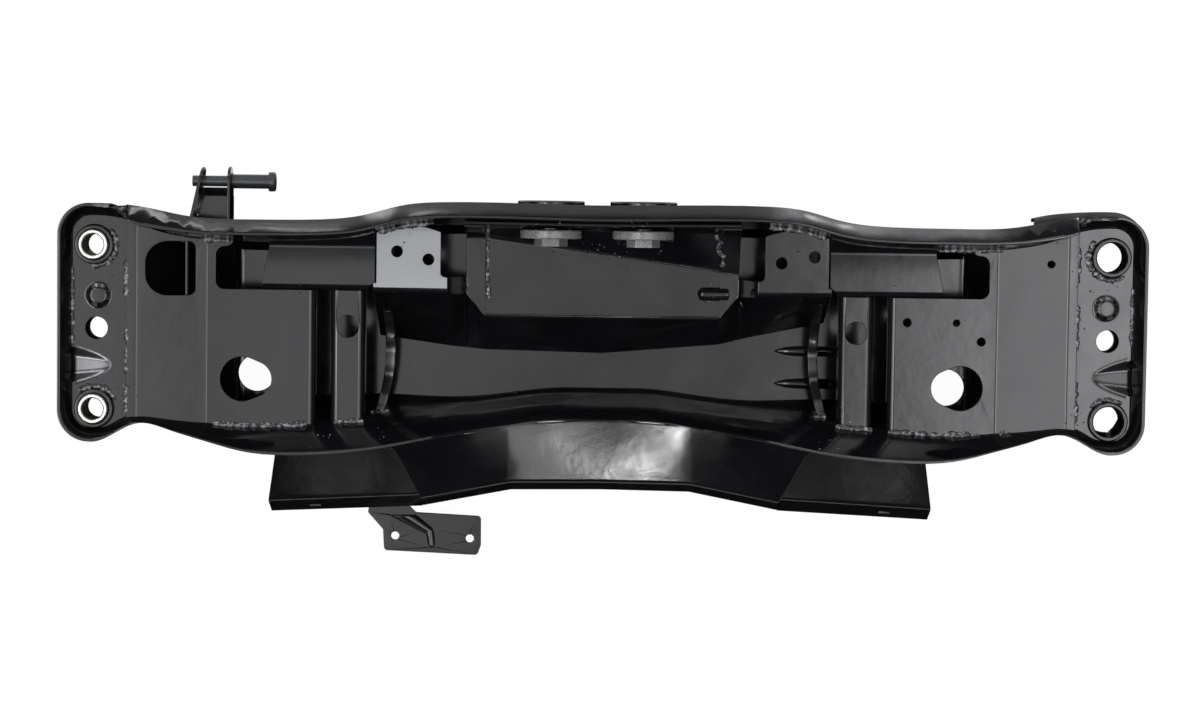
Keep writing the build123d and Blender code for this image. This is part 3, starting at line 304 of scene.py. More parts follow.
def seen_rays(tree):
    """1 for the rays that show the background: to the camera, in a reflection or through glass."""
    path = add(tree, "ShaderNodeLightPath").outputs
    seen = add(tree, "ShaderNodeMath", {0: path["Is Camera Ray"], 1: path["Is Glossy Ray"]},
               operation="MAXIMUM").outputs[0]
    return add(tree, "ShaderNodeMath", {0: seen, 1: path["Is Transmission Ray"]},
               operation="MAXIMUM").outputs[0]


def studio_floor():
    """Matt white seamless board: white where the lamps reach it, with the subframe's soft shadow and a
    faint mottle of 40 mm."""
    made, tree = empty_material("matt_white_board")
    part = times(tree, seen_rays(tree), 0.92)
    where = add(tree, "ShaderNodeTexCoord").outputs["Object"]
    tint = blend(tree, noise(tree, where, 40), colour("#f4f4f4"), colour("#f8f8f8"))
    board = add(tree, "ShaderNodeBsdfDiffuse", {"Color": tint}).outputs[0]
    white = add(tree, "ShaderNodeEmission", {"Strength": 1.05}).outputs[0]
    mixed = add(tree, "ShaderNodeMixShader", {0: part, 1: board, 2: white}).outputs[0]
    add(tree, "ShaderNodeOutputMaterial", {"Surface": mixed})
    return made


def black_card():
    """Matt black card under the subframe, which the low edges mirror, so that they stand out dark, with
    fibres drawn 5 mm across."""
    made, tree = empty_material("matt_black_card")
    where = add(tree, "ShaderNodeTexCoord").outputs["Object"]
    tint = blend(tree, noise(tree, where, 5), colour("#0c0c0c"), colour("#121212"))
    board = add(tree, "ShaderNodeBsdfDiffuse", {"Color": tint}).outputs[0]
    add(tree, "ShaderNodeOutputMaterial", {"Surface": board})
    return made


def new_object(name, mesh, paints):
    """Link a finished mesh as an object at the origin with its materials."""
    made = bpy.data.objects.new(name, mesh)
    bpy.context.scene.collection.objects.link(made)
    mesh.materials.clear()
    for paint in paints:
        mesh.materials.append(paint)
    return made


def settle(made, nodes=()):
    """Let a finished piece ride on the part and stand for its nodes."""
    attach(made, "root")
    if nodes:
        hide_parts(*nodes)


def sheet_mesh(name, nodes, flat=FLAT_ANGLE):
    """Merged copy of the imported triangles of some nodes, with flat areas as single faces."""
    work = bmesh.new()
    for node in nodes:
        work.from_mesh(NODES[node].data)
    bmesh.ops.remove_doubles(work, verts=work.verts, dist=0.01 * MM)
    if flat:
        # Faces that look down keep their triangles
        tops = [edge for edge in work.edges if all(face.normal.z > -0.7 for face in edge.link_faces)]
        bmesh.ops.dissolve_limit(work, angle_limit=radians(flat), verts=[], edges=tops)
    for face in work.faces:
        face.smooth = True
    mesh = bpy.data.meshes.new(name)
    work.to_mesh(mesh)
    work.free()
    return mesh


def joined(name, nodes):
    """One closed mesh of the merged copies of some touching nodes."""
    pieces = [new_object(node + "_copy", sheet_mesh(node + "_copy", [node], 0), []) for node in nodes]
    for node, piece in zip(nodes, pieces):
        if node.endswith("end_wall"):
            blend_brim(piece.data)
    rest = bpy.data.collections.new(name + "_rest")
    for piece in pieces[1:]:
        rest.objects.link(piece)
    join = pieces[0].modifiers.new("join", "BOOLEAN")
    join.operation = "UNION"
    join.operand_type = "COLLECTION"
    join.collection = rest
    join.solver = "MANIFOLD"
    mesh = bake(pieces[0]).data
    for piece in pieces:
        bpy.data.objects.remove(piece)
    bpy.data.collections.remove(rest)
    mesh.name = name
    return mesh


def is_fold(edge):
    """Whether an edge of the shell is where its floor folds up into a wall."""
    low, high = sorted(edge.link_faces, key=lambda face: -abs(face.normal.z))
    inside = max(abs(vert.co.z) for vert in edge.verts) < FLARE_Z * MM
    inside = inside and edge.verts[0].co.y - SHIFT_Y > -125 * MM
    level = abs(low.normal.z) > 0.5 and abs(high.normal.z) < 0.86
    large = min(low.calc_area(), high.calc_area()) > 4 * MM * MM and edge.calc_length() > 1.5 * MM
    return inside and level and large and edge.calc_face_angle(0.0) > radians(18)


def blend_brim(mesh):
    """Let the brim of the front wall run out gently along the rim of an end wall."""
    for vert in mesh.vertices:
        x, y, z = abs(vert.co.x) / MM, (vert.co.y - SHIFT_Y) / MM, vert.co.z / MM
        if y < 100.0 or z < FLARE_Z + 0.5:
            continue
        past = min(max((x - BRIM_X) / BRIM_RUN, 0.0), 1.0)
        share = 1.0 - past * past * (3.0 - 2.0 * past)
        rim_y = min(117.3 + 0.04 * (x - BRIM_X), 118.5)
        if rim_y - y > 0.65 * (RIM_Z - z) + 1.6:
            vert.co.y -= BRIM_IN * MM * share * (z - FLARE_Z) / (RIM_Z - FLARE_Z)
        elif z > RIM_Z - 1.0:
            vert.co.z -= BRIM_DOWN * MM * share


def scoop(sign):
    """Shallow scoop with a round nose, for an end plate."""
    points = []
    count = SCOOP_POINTS
    for i in range(count):
        x = SCOOP_NOSE + (SCOOP_END - SCOOP_NOSE) * i / (count - 1)
        along = min(max((x - SCOOP_NOSE - 3.0) / 33.0, 0.0), 1.0)
        half = max(SCOOP_HALF * along ** 0.5, 0.1)
        for j in range(count):
            y = 44.0 * j / (count - 1) - 22.0
            across = min(max(abs(y) / half - 0.2, 0.0) / 0.8, 1.0)
            depth = SCOOP_DEPTH * along ** 0.7 * (0.5 + 0.5 * cos(across * pi))
            points.append(at(sign * x, y + SCOOP_Y, END_PLATE_Z + 0.1 - depth))
    faces = []
    for i in range(count - 1):
        for j in range(count - 1):
            k = i * count + j
            corners = (k, k + count, k + count + 1, k + 1)
            faces.append(corners if sign > 0 else corners[::-1])
    mesh = bpy.data.meshes.new("scoop")
    mesh.from_pydata(points, [], faces)
    for face in mesh.polygons:
        face.use_smooth = True
    return mesh


def cut_scoop(mesh, sign):
    """Take the pressed cone out of an end plate's copy, where its scoop goes in."""
    plate = new_object("plate_copy", mesh, [])
    corners = ((464.0, -21.0), (464.0, 21.0), (497.0, 21.0), (497.0, -21.0))
    rings = [[at(sign * x, y + SCOOP_Y, z) for x, y in corners] for z in (100.0, 125.0)]
    tool = new_object("scoop_tool", swept("scoop_tool", rings), [])
    cut = plate.modifiers.new("cut", "BOOLEAN")
    cut.operation = "DIFFERENCE"
    cut.object = tool
    cut.solver = "EXACT"
    done = bake(plate).data
    bpy.data.objects.remove(plate)
    bpy.data.objects.remove(tool)
    return done


def round_edges(mesh, chosen, radius):
    """Round some edges, as the press leaves them."""
    work = bmesh.new()
    work.from_mesh(mesh)
    bmesh.ops.remove_doubles(work, verts=work.verts, dist=0.15 * MM)
    folds = [edge for edge in work.edges if len(edge.link_faces) == 2 and chosen(edge)]
    bmesh.ops.bevel(work, geom=folds, offset=radius, segments=4, profile=0.5, affect="EDGES",
                    clamp_overlap=True)
    for face in work.faces:
        face.smooth = True
    work.to_mesh(mesh)
    work.free()


def edge_strips(mesh, width):
    """Cut narrow strips beside the creases of the apron, so that its shading turns only there."""
    work = bmesh.new()
    work.from_mesh(mesh)
    for crease in CREASES:
        for x in (crease * MM - width, crease * MM + width):
            faces = [face for face in work.faces
                     if max(vert.co.y for vert in face.verts) - SHIFT_Y < APRON_START * MM]
            parts = set(faces)
            for face in faces:
                parts.update(face.edges)
                parts.update(face.verts)
            bmesh.ops.bisect_plane(work, geom=list(parts), plane_co=(x, 0, 0), plane_no=(1, 0, 0))
    bmesh.ops.remove_doubles(work, verts=work.verts, dist=0.15 * MM)
    work.to_mesh(mesh)
    work.free()


def pull_back(made, nodes, reach):
    """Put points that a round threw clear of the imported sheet, or out of the box, back on to it."""
    sheet = tree_of(nodes)
    for vert in made.data.vertices:
        spot, normal, number, far = sheet.find_nearest(vert.co)
        if far > reach or not CAD_BOX[0][2] <= vert.co.z <= CAD_BOX[1][2]:
            vert.co = spot


def soften(made, width, steps=2):
    """Round the edges of a sheet by a small radius, and keep its flats flat."""
    bevel = made.modifiers.new("edge_break", "BEVEL")
    bevel.width = width
    bevel.segments = steps
    bevel.limit_method = "ANGLE"
    bevel.angle_limit = radians(32)
    bevel.use_clamp_overlap = False
    bevel.miter_outer = "MITER_ARC"
    flat = made.modifiers.new("flats", "WEIGHTED_NORMAL")
    flat.weight = 60
    flat.keep_sharp = True


def swept(name, rings):
    """Closed mesh through a row of rings of points."""
    count = len(rings[0])
    points = [point for ring in rings for point in ring]
    faces = [tuple(range(count))[::-1], tuple(range(len(points) - count, len(points)))]
    for start in range(0, len(points) - count, count):
        for i in range(count):
            j = (i + 1) % count
            faces.append((start + i, start + j, start + count + j, start + count + i))
    mesh = bpy.data.meshes.new(name)
    mesh.from_pydata(points, [], faces)
    work = bmesh.new()
    work.from_mesh(mesh)
    bmesh.ops.recalc_face_normals(work, faces=work.faces)
    for face in work.faces:
        face.smooth = True
    work.to_mesh(mesh)
    work.free()
    return mesh


def bake(made):
    """Replace an object's mesh by the mesh that its modifiers give."""
    graph = bpy.context.evaluated_depsgraph_get()
    graph.update()
    mesh = bpy.data.meshes.new_from_object(made.evaluated_get(graph))
    made.modifiers.clear()
    made.data = mesh
    return made


def tree_of(nodes):
    """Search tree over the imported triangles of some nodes."""
    points = []
    faces = []
    for name in nodes:
        start = len(points)
        mesh = NODES[name].data
        points += [v.co.copy() for v in mesh.vertices]
        faces += [[start + i for i in face.vertices] for face in mesh.polygons]
    return BVHTree.FromPolygons(points, faces)


def shine_at(x, y):
    """The point of the dressed shell or of a flap at a place of the drawing, and its shading normal there."""
    for name in ("pressed_shell", "left_rear_flap_painted", "right_rear_flap_painted"):
        mesh = bpy.data.objects[name].data
        faces = [list(face.vertices) for face in mesh.polygons]
        tree = BVHTree.FromPolygons([vert.co for vert in mesh.vertices], faces)
        spot, normal, number, far = tree.ray_cast(at(x, y, ABOVE), DOWN)
        if spot:
            shine = Vector()
            shares = poly_3d_calc([mesh.vertices[i].co for i in faces[number]], spot)
            for share, corner in zip(shares, mesh.polygons[number].loop_indices):
                shine += share * mesh.corner_normals[corner].vector
            return spot, shine.normalized()
    raise RuntimeError("no dressed sheet at %s, %s" % (x, y))


def bow_down(mesh):
    """Let the flat of a wing fall away gently towards the front wall."""
    work = bmesh.new()
    work.from_mesh(mesh)
    for y in range(int(WING_Y) + 2, int(WING_Y + WING_RUN) + 4, 4):
        parts = work.verts[:] + work.edges[:] + work.faces[:]
        bmesh.ops.bisect_plane(work, geom=parts, plane_co=at(0, y, 0), plane_no=(0, 1, 0))
    for vert in work.verts:
        past = min(max((vert.co.y - SHIFT_Y) / MM - WING_Y, 0.0), WING_RUN)
        vert.co.z -= WING_FALL * past * past * MM
    for face in work.faces:
        face.smooth = True
    work.to_mesh(mesh)
    work.free()


def even_apron(mesh):
    """Shade each panel of the apron's copy as one drawn surface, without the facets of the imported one."""
    apron = tree_of(["apron"])
    samples = []
    for x in range(-APRON_X, APRON_X + 1, 4):
        for y in range(*APRON_Y, 3):
            spot, normal = apron.ray_cast(at(x, y, ABOVE), DOWN)[:2]
            if spot and normal.z > 0.9:
                samples.append((x, y, normal))
    bend = CREASES[-2]
    shading = [corner.vector.copy() for corner in mesh.corner_normals]
    for face in mesh.polygons:
        x, y = face.center.x / MM, (face.center.y - SHIFT_Y) / MM
        if face.normal.z < 0.9 or not -128 < y < -84 or abs(x) > 160 or face.area < 3 * MM * MM:
            continue
        for i, corner in zip(face.loop_indices, face.vertices):
            spot = mesh.vertices[corner].co
            corner_x, corner_y = spot.x / MM, (spot.y - SHIFT_Y) / MM
            on_bend = abs(abs(corner_x) - bend) < 1.0
            total = Vector()
            for near_x, near_y, normal in samples:
                near = abs(near_x - corner_x) < 30 and abs(near_y - corner_y) < 14
                if near and (on_bend or (abs(near_x) > bend) == (abs(x) > bend)):
                    total += normal
            if total.length > 0:
                shading[i] = total.normalized()
    mesh.normals_split_custom_set(shading)


def board(name, paint, half, place):
    """A level board of the stage, from its half width and depth and its middle."""
    work = bmesh.new()
    bmesh.ops.create_grid(work, x_segments=2, y_segments=2, size=1.0, matrix=Matrix.Diagonal((*half, 1, 1)))
    bmesh.ops.translate(work, verts=work.verts, vec=place)
    mesh = bpy.data.meshes.new(name)
    work.to_mesh(mesh)
    work.free()
    return new_object(name, mesh, [paint])


def hang_lamp(name, place, target, size, bright):
    """An area lamp that faces a target, from the brightness of its face, and that no camera sees."""
    lamp = bpy.data.lights.new(name, "AREA")
    lamp.shape = "RECTANGLE"
    lamp.size, lamp.size_y = size
    lamp.energy = bright * pi * lamp.size * lamp.size_y
    made = bpy.data.objects.new(name, lamp)
    made.location = place
    made.rotation_euler = (target - made.location).to_track_quat("-Z", "Y").to_euler()
    made.visible_camera = False
    bpy.context.scene.collection.objects.link(made)


def line_mesh(name, lines):
    """A mesh of open lines of points."""
    mesh = bpy.data.meshes.new(name)
    points = [p for line in lines for p in line]
    edges = []
    start = 0
    for line in lines:
        edges += [(start + i, start + i + 1) for i in range(len(line) - 1)]
        start += len(line)
    mesh.from_pydata(points, edges, [])
    return mesh


def group(name, sizes):
    """A new geometry tree with a mesh input, named size inputs, a seed and a paint."""
    tree = bpy.data.node_groups.new(name, "GeometryNodeTree")
    kinds = [("Geometry", "Geometry")] + [(label, "Float") for label in sizes]
    for label, kind in kinds + [("Seed", "Int"), ("Paint", "Material")]:
        tree.interface.new_socket(label, in_out="INPUT", socket_type="NodeSocket" + kind)
    tree.interface.new_socket("Geometry", in_out="OUTPUT", socket_type="NodeSocketGeometry")
    return tree, add(tree, "NodeGroupInput").outputs


def use_group(made, tree, values):
    """Run a geometry tree on an object with the values given by input name, and keep its mesh."""
    run = made.modifiers.new("pattern", "NODES")
    run.node_group = tree
    for item in tree.interface.items_tree:
        if item.in_out == "INPUT" and item.name in values:
            run[item.identifier] = values[item.name]
    return bake(made)


def weld_tree():
    """Overlapping ripples laid along each line, as an arc weld sets."""
    tree, given = group("weld_ripples", ("Ripple spacing", "Bead width", "Bead height", "Wander"))
    lines = add(tree, "GeometryNodeMeshToCurve", {"Mesh": given["Geometry"]}).outputs[0]
    even = add(tree, "GeometryNodeResampleCurve", {"Curve": lines, "Length": given["Ripple spacing"]},
               mode="LENGTH").outputs[0]
    along = add(tree, "GeometryNodeCurveToPoints", {"Curve": even}, mode="EVALUATED")
    low = add(tree, "ShaderNodeVectorMath", {0: (-1, -1, -0.35), "Scale": given["Wander"]},
              operation="SCALE").outputs[0]
    high = add(tree, "ShaderNodeVectorMath", {0: (1, 1, 0.35), "Scale": given["Wander"]},
               operation="SCALE").outputs[0]
    drift = add(tree, "FunctionNodeRandomValue", {0: low, 1: high, "Seed": given["Seed"]},
                data_type="FLOAT_VECTOR").outputs[0]
    loose = add(tree, "GeometryNodeSetPosition", {"Geometry": along.outputs["Points"],
                                                  "Offset": drift}).outputs[0]
    turn = add(tree, "FunctionNodeAlignRotationToVector", {"Vector": along.outputs["Tangent"]}, axis="X",
               pivot_axis="Z").outputs[0]
    spot = add(tree, "GeometryNodeInputPosition").outputs[0]
    swell = noise(tree, spot, 7, 1.0)
    full = add(tree, "ShaderNodeMapRange", {"Value": swell, "From Min": 0.3, "From Max": 0.7, "To Min": 0.45,
                                            "To Max": 1.35}).outputs[0]
    size = add(tree, "ShaderNodeCombineXYZ", {0: full, 1: full, 2: full}).outputs[0]
    ball = add(tree, "GeometryNodeMeshUVSphere", {"Segments": 10, "Rings": 6, "Radius": 0.5}).outputs[0]
    shape = add(tree, "ShaderNodeCombineXYZ", {0: given["Bead width"], 1: given["Bead width"],
                                               2: given["Bead height"]}).outputs[0]
    drop = add(tree, "GeometryNodeTransform", {"Geometry": ball, "Scale": shape}).outputs[0]
    laid = add(tree, "GeometryNodeInstanceOnPoints", {"Points": loose, "Instance": drop, "Rotation": turn,
                                                      "Scale": size}).outputs[0]
    real = add(tree, "GeometryNodeRealizeInstances", {"Geometry": laid}).outputs[0]
    smooth = add(tree, "GeometryNodeSetShadeSmooth", {"Geometry": real}).outputs[0]
    paint = add(tree, "GeometryNodeSetMaterial", {"Geometry": smooth, "Material": given["Paint"]}).outputs[0]
    add(tree, "NodeGroupOutput", {"Geometry": paint})
    return tree


def drop_tree():
    """A small round drop at each point, of uneven size."""
    tree, given = group("weld_drops", ("Smallest", "Largest"))
    size = add(tree, "FunctionNodeRandomValue", {2: given["Smallest"], 3: given["Largest"],
                                                 "Seed": given["Seed"]}, data_type="FLOAT").outputs[1]
    ball = add(tree, "GeometryNodeMeshUVSphere", {"Segments": 8, "Rings": 5, "Radius": 0.5}).outputs[0]
    flat = add(tree, "GeometryNodeTransform", {"Geometry": ball, "Scale": (1.0, 1.0, 0.8)}).outputs[0]
    laid = add(tree, "GeometryNodeInstanceOnPoints", {"Points": given["Geometry"], "Instance": flat,
                                                      "Scale": size}).outputs[0]
    real = add(tree, "GeometryNodeRealizeInstances", {"Geometry": laid}).outputs[0]
    smooth = add(tree, "GeometryNodeSetShadeSmooth", {"Geometry": real}).outputs[0]
    paint = add(tree, "GeometryNodeSetMaterial", {"Geometry": smooth, "Material": given["Paint"]}).outputs[0]
    add(tree, "NodeGroupOutput", {"Geometry": paint})
    return tree


def weld_lines():
    """Every seam as a line of points on the sheet, with its bead width in millimetres."""
    walls = tree_of(WALL_NODES)
    tops = tree_of(SHELL_NODES + SHEET_NODES)
    lines = []
    for height, toward, x0, x1, width in WALL_SEAMS:
        line = []
        for i in range(int((x1 - x0) / 5) + 1):
            x = min(x0 + 5 * i, x1)
            hit = walls.ray_cast(at(x, 0, height + 2), Vector((0, toward, 0)))[0]
            if hit:
                line.append(Vector((hit.x, hit.y - toward * 1.2 * MM, height * MM)))
        lines.append((line, width))
    for sign, y0, y1 in END_SEAMS:
        line = []
        for i in range(13):
            y = y0 + (y1 - y0) * i / 12
            hit = walls.ray_cast(at(sign * 440, y, END_PLATE_Z + 2), Vector((sign, 0, 0)))[0]
            if hit:
                line.append(Vector((hit.x - sign * 1.2 * MM, hit.y, (END_PLATE_Z + 0.5) * MM)))
        lines.append((line, 4.0))
    for x, y0, y1 in FLANGE_SEAMS:
        lines.append(([at(x, y0 + (y1 - y0) * i / 8, END_PLATE_Z + 1.5) for i in range(9)], 5.0))
    for sign, y, radius, a0, a1 in COLLAR_SEAMS:
        turns = [radians(a0 + (a1 - a0) * i / 10) for i in range(11)]
        line = [at(sign * BORE_X + radius * cos(t), y + radius * sin(t), END_PLATE_Z + 0.5) for t in turns]
        lines.append((line, 5.5))
    for points in RAIL_SEAMS:
        line = []
        for (xa, ya), (xb, yb) in zip(points, points[1:]):
            for i in range(8):
                start = at(xa + (xb - xa) * i / 7, ya + (yb - ya) * i / 7, ABOVE)
                hit = tops.ray_cast(start, DOWN)[0]
                if hit:
                    line.append(hit)
        lines.append((line, 4.5))
    return lines


def length(name, description, millimetres):
    """A length that the panel shows, in the scene's units."""
    return FloatProperty(name=name, description=description, default=millimetres * MM, unit="LENGTH")


def tone(name, description, code):
    """A colour that the panel shows, from its sRGB hex code."""
    return FloatVectorProperty(name=name, description=description, default=colour(code), size=3,
                               subtype="COLOR")


def brightness(name, description, default):
    """A brightness that the panel shows, in watts per square metre and steradian."""
    return FloatProperty(name=name, description=description, default=default)


class SubframeSizes(PropertyGroup):
    """Sizes of the finish that a user would change."""
    edge_break: length("Edge break", "Radius of the painted sheet edges", 0.7)
    fold: length("Fold round", "Set back of the round between floor and walls", 5)
    crease: length("Crease round", "Half width of the turn between two panels of the apron", 12)
    ripple: length("Ripple spacing", "Distance between two ripples of a weld", 1.3)
    drop_small: length("Smallest drop", "Diameter of the smallest spatter", 0.7)
    drop_large: length("Largest drop", "Diameter of the largest spatter", 2.2)
    seed: IntProperty(name="Seed", description="Seed of the welds and the spatter", default=7)


class SubframePaints(PropertyGroup):
    """Colours of the paint and the bare steel that a user would change."""
    sheet: tone("Sheet", "Black dip paint on sheets and turned parts", "#0b0b0d")
    sheet_bloom: tone("Sheet bloom", "The same paint where dust has settled", "#131416")
    # Film and its bloom are pale grey painted on the left console's pad: a painted highlight, standing in for
    # the bright reflection there, and no real paint film
    film: tone("Film", "Settled paint film on the left console", "#8b8c8e")
    painted_highlight_bloom: tone("Film bloom", "The same film where it is thicker", "#939495")
    washer: tone("Washer", "Thin grey paint on washers and nuts", "#5c5b59")
    washer_bloom: tone("Washer bloom", "The same paint where the steel shows through", "#8c8b88")
    crust: tone("Torn edge", "Runny paint on the torn edge", "#08080a")
    crust_bloom: tone("Torn edge bloom", "The same paint where dust has settled", "#141416")
    pin: tone("Pin", "Thin paint on the hanger's pin", "#1c1d1f")
    pin_bloom: tone("Pin bloom", "The same paint where it is worn", "#2a2b2d")
    weld: tone("Weld", "Paint over the arc welds", "#1c1c1e")
    weld_pale: tone("Weld islands", "Silicate islands on the arc welds", "#8d8e90")
    steel: tone("Steel", "Turned bright steel of the sleeves", "#d9d7d2")
    steel_stain: tone("Steel stain", "The same steel under a film of oil", "#a39f98")


class SubframeLight(PropertyGroup):
    """Light that a user would change."""
    sky: tone("Room", "Colour of the light from the room", "#f7f8fa")
    strength: brightness("Room strength", "Strength of the light from the room", 4.4)
    apron: brightness("Apron lamp", "Brightness of the lamp that the apron mirrors", 0.45)
    spot: brightness("Small lamps", "Brightness of the lamps in the hot spots", 60.0)
    corner: brightness("Corner lamps", "Brightness of the low lamps in the room's corners", 1.0)


class SUBFRAME_OT_paints(Operator):
    """Mix the paints, the bare steel and the boards of the stage"""
    bl_idname = "subframe.paints"
    bl_label = "Paints"

    def execute(self, context):
        tones = context.scene.subframe_paints
        for key, name, deep, bloom, gloss, peel in (
                ("sheet", "black_dip_paint_on_sheet", tones.sheet, tones.sheet_bloom, 0.08, 0.25),
                # The "film" paint is a painted highlight on the left console's pad, standing in for the
                # bright reflection there
                ("film", "dip_paint_with_painted_highlight", tones.film, tones.painted_highlight_bloom, 0.4, 0.15),
                ("turned", "black_dip_paint_on_turned_steel", tones.sheet, tones.sheet_bloom, 0.13, 0.25),
                ("washer", "thin_grey_paint_on_washers", tones.washer, tones.washer_bloom, 0.2, 0.4),
                ("crust", "runny_dip_paint_on_torn_edge", tones.crust, tones.crust_bloom, 0.3, 2.0),
                ("pin", "thin_dip_paint_on_pin", tones.pin, tones.pin_bloom, 0.3, 0.3)):
            PAINTS[key] = dip_paint(name, deep, bloom, gloss, peel)
        PAINTS["weld"] = painted_weld(tones.weld, tones.weld_pale)
        PAINTS["steel"] = turned_steel(tones.steel, tones.steel_stain)
        PAINTS["floor"] = studio_floor()
        PAINTS["card"] = black_card()
        return {"FINISHED"}


class SUBFRAME_OT_shell(Operator):
    """Join the pressed shell into one painted sheet"""
    bl_idname = "subframe.shell"
    bl_label = "Pressed shell"

    def execute(self, context):
        mesh = joined("pressed_shell", SHELL_NODES)
        sizes = context.scene.subframe_sizes
        round_edges(mesh, is_fold, sizes.fold)
        edge_strips(mesh, sizes.crease)
        made = new_object("pressed_shell", mesh, [PAINTS["sheet"]])
        soften(made, sizes.edge_break)
        pull_back(bake(made), SHELL_NODES, OFF_SHEET * MM)
        even_apron(made.data)
        settle(made, SHELL_NODES)
        return {"FINISHED"}


class SUBFRAME_OT_sheets(Operator):
    """Dress the plates, bridges, wings, flaps, consoles, ribs and brackets"""
    bl_idname = "subframe.sheets"
    bl_label = "Welded sheets"

    def execute(self, context):
        sizes = context.scene.subframe_sizes
        for node in SHEET_NODES:
            mesh = sheet_mesh(node + "_painted", [node], 0 if node == "hose_bracket" else FLAT_ANGLE)
            if node.endswith("end_plate"):
                mesh = cut_scoop(mesh, -1 if node.startswith("left") else 1)
            if node.endswith("wing"):
                bow_down(mesh)
            paint = PAINTS["crust" if node == "edge_bracket" else "sheet"]
            made = new_object(node + "_painted", mesh, [paint, PAINTS["film"]])
            # The pale "film" is a painted highlight, standing in for the bright reflection that the pad
            # shows, and lies on the pad alone
            if node == "left_console":
                for face in mesh.polygons:
                    if face.normal.z > 0.99 and face.center.z > 101 * MM:
                        face.material_index = 1
            soften(made, sizes.edge_break)
            pull_back(bake(made), [node], OFF_SHEET * MM)
            settle(made, [node])
        return {"FINISHED"}


class SUBFRAME_OT_pressings(Operator):
    """Add the floor beads, the flanges of the ribs and the web of the hanger"""
    bl_idname = "subframe.pressings"
    bl_label = "Beads and flanges"

    def execute(self, context):
        turns = [pi * i / 8 for i in range(9)]
        for number, y in enumerate(FLOOR_BEADS):
            rings = []
            for x, half, height in BEAD_RINGS:
                rings.append([at(x, y - half * cos(t), 2.5 + height * sin(t)) for t in turns])
            name = "floor_bead_%d" % number
            settle(new_object(name, swept(name, rings), [PAINTS["sheet"]]))
        for side, sign in zip(SIDES, (-1, 1)):
            settle(new_object(side + "_scoop", scoop(sign), [PAINTS["sheet"]]))
            rib = tree_of([side + "_rib"])
            rings = []
            for i in range(37):
                y = 33 - 4 * i
                hits = [rib.ray_cast(at(sign * x / 2, y, ABOVE), DOWN)[0] for x in range(400, 470)]
                hits = [hit for hit in hits if hit]
                if hits:
                    x = sum(hit.x for hit in hits) / len(hits) / MM
                    top = max(hit.z for hit in hits) / MM
                    wide = 8.0 * min(1.0, 0.35 + i / 8, 0.35 + (36 - i) / 14)
                    rings.append([at(x + sign, y, top + 0.3), at(x - sign * wide, y, top - 0.4),
                                  at(x - sign * wide, y, top - 2.4), at(x + sign, y, top - 2.4)])
            made = new_object(side + "_rib_flange", swept(side + "_rib_flange", rings), [PAINTS["sheet"]])
            soften(made, 0.9 * MM)
            settle(bake(made))
        rings = [[at(x0, y, z), at(x1, y, z), at(x1, y, z - 3), at(x0, y, z - 3)]
                 for x0, x1, y, z in HANGER_WEB]
        made = new_object("hanger_web", swept("hanger_web", rings), [PAINTS["sheet"]])
        soften(made, 0.6 * MM)
        settle(bake(made))
        return {"FINISHED"}


class SUBFRAME_OT_turned(Operator):
    """Dress the collars, bosses, washers, nuts, sleeves and the hanger pin"""
    bl_idname = "subframe.turned"
    bl_label = "Turned parts"

    def execute(self, context):
        for node in TURNED_NODES:
            paint = PAINTS["washer" if "washer" in node or node == "boss_nuts" else "turned"]
            made = new_object(node + "_painted", sheet_mesh(node + "_painted", [node], 0), [paint])
            soften(made, 0.5 * MM)
            settle(bake(made), [node])
        for node in ("left_front_sleeve", "left_rear_sleeve"):
            made = new_object(node + "_turned", sheet_mesh(node + "_turned", [node], 0), [PAINTS["steel"]])
            soften(made, 0.4 * MM, 3)
            settle(bake(made), [node])
        mesh = sheet_mesh("hanger_pin_painted", ["hanger_pin"], 0)
        made = new_object("hanger_pin_painted", mesh, [PAINTS["pin"]])
        soften(made, 0.5 * MM, 3)
        settle(bake(made), ["hanger_pin"])
        return {"FINISHED"}


class SUBFRAME_OT_welds(Operator):
    """Lay the weld beads along the seams"""
    bl_idname = "subframe.welds"
    bl_label = "Weld beads"

    def execute(self, context):
        sizes = context.scene.subframe_sizes
        tree = weld_tree()
        for number, (line, width) in enumerate(weld_lines()):
            if len(line) < 2:
                raise RuntimeError("seam %d lies on no sheet" % number)
            name = "weld_bead_%02d" % number
            made = new_object(name, line_mesh(name, [line]), [PAINTS["weld"]])
            use_group(made, tree, {"Ripple spacing": sizes.ripple, "Bead width": width * MM,
                                   "Bead height": 0.6 * width * MM, "Wander": 0.08 * width * MM,
                                   "Seed": sizes.seed + number, "Paint": PAINTS["weld"]})
            settle(made)
        return {"FINISHED"}


class SUBFRAME_OT_spatter(Operator):
    """Scatter small drops of spatter beside the welds"""
    bl_idname = "subframe.spatter"
    bl_label = "Weld spatter"

    def execute(self, context):
        sizes = context.scene.subframe_sizes
        pick = random.Random(sizes.seed)
        tops = tree_of(SHELL_NODES + SHEET_NODES)
        points = []
        for x, y, reach, count in SPATTER:
            for _ in range(count):
                turn = pick.uniform(0, 2 * pi)
                far = reach * pick.random() ** 0.5
                hit = tops.ray_cast(at(x + far * cos(turn), y + far * sin(turn), ABOVE), DOWN)[0]
                # None on the rim
                if hit and MM < hit.z < (RIM_Z - 2) * MM:
                    points.append(hit)
        made = new_object("weld_spatter", line_mesh("weld_spatter", [[p] for p in points]), [PAINTS["weld"]])
        use_group(made, drop_tree(), {"Smallest": sizes.drop_small, "Largest": sizes.drop_large,
                                      "Seed": sizes.seed, "Paint": PAINTS["weld"]})
        settle(made)
        return {"FINISHED"}


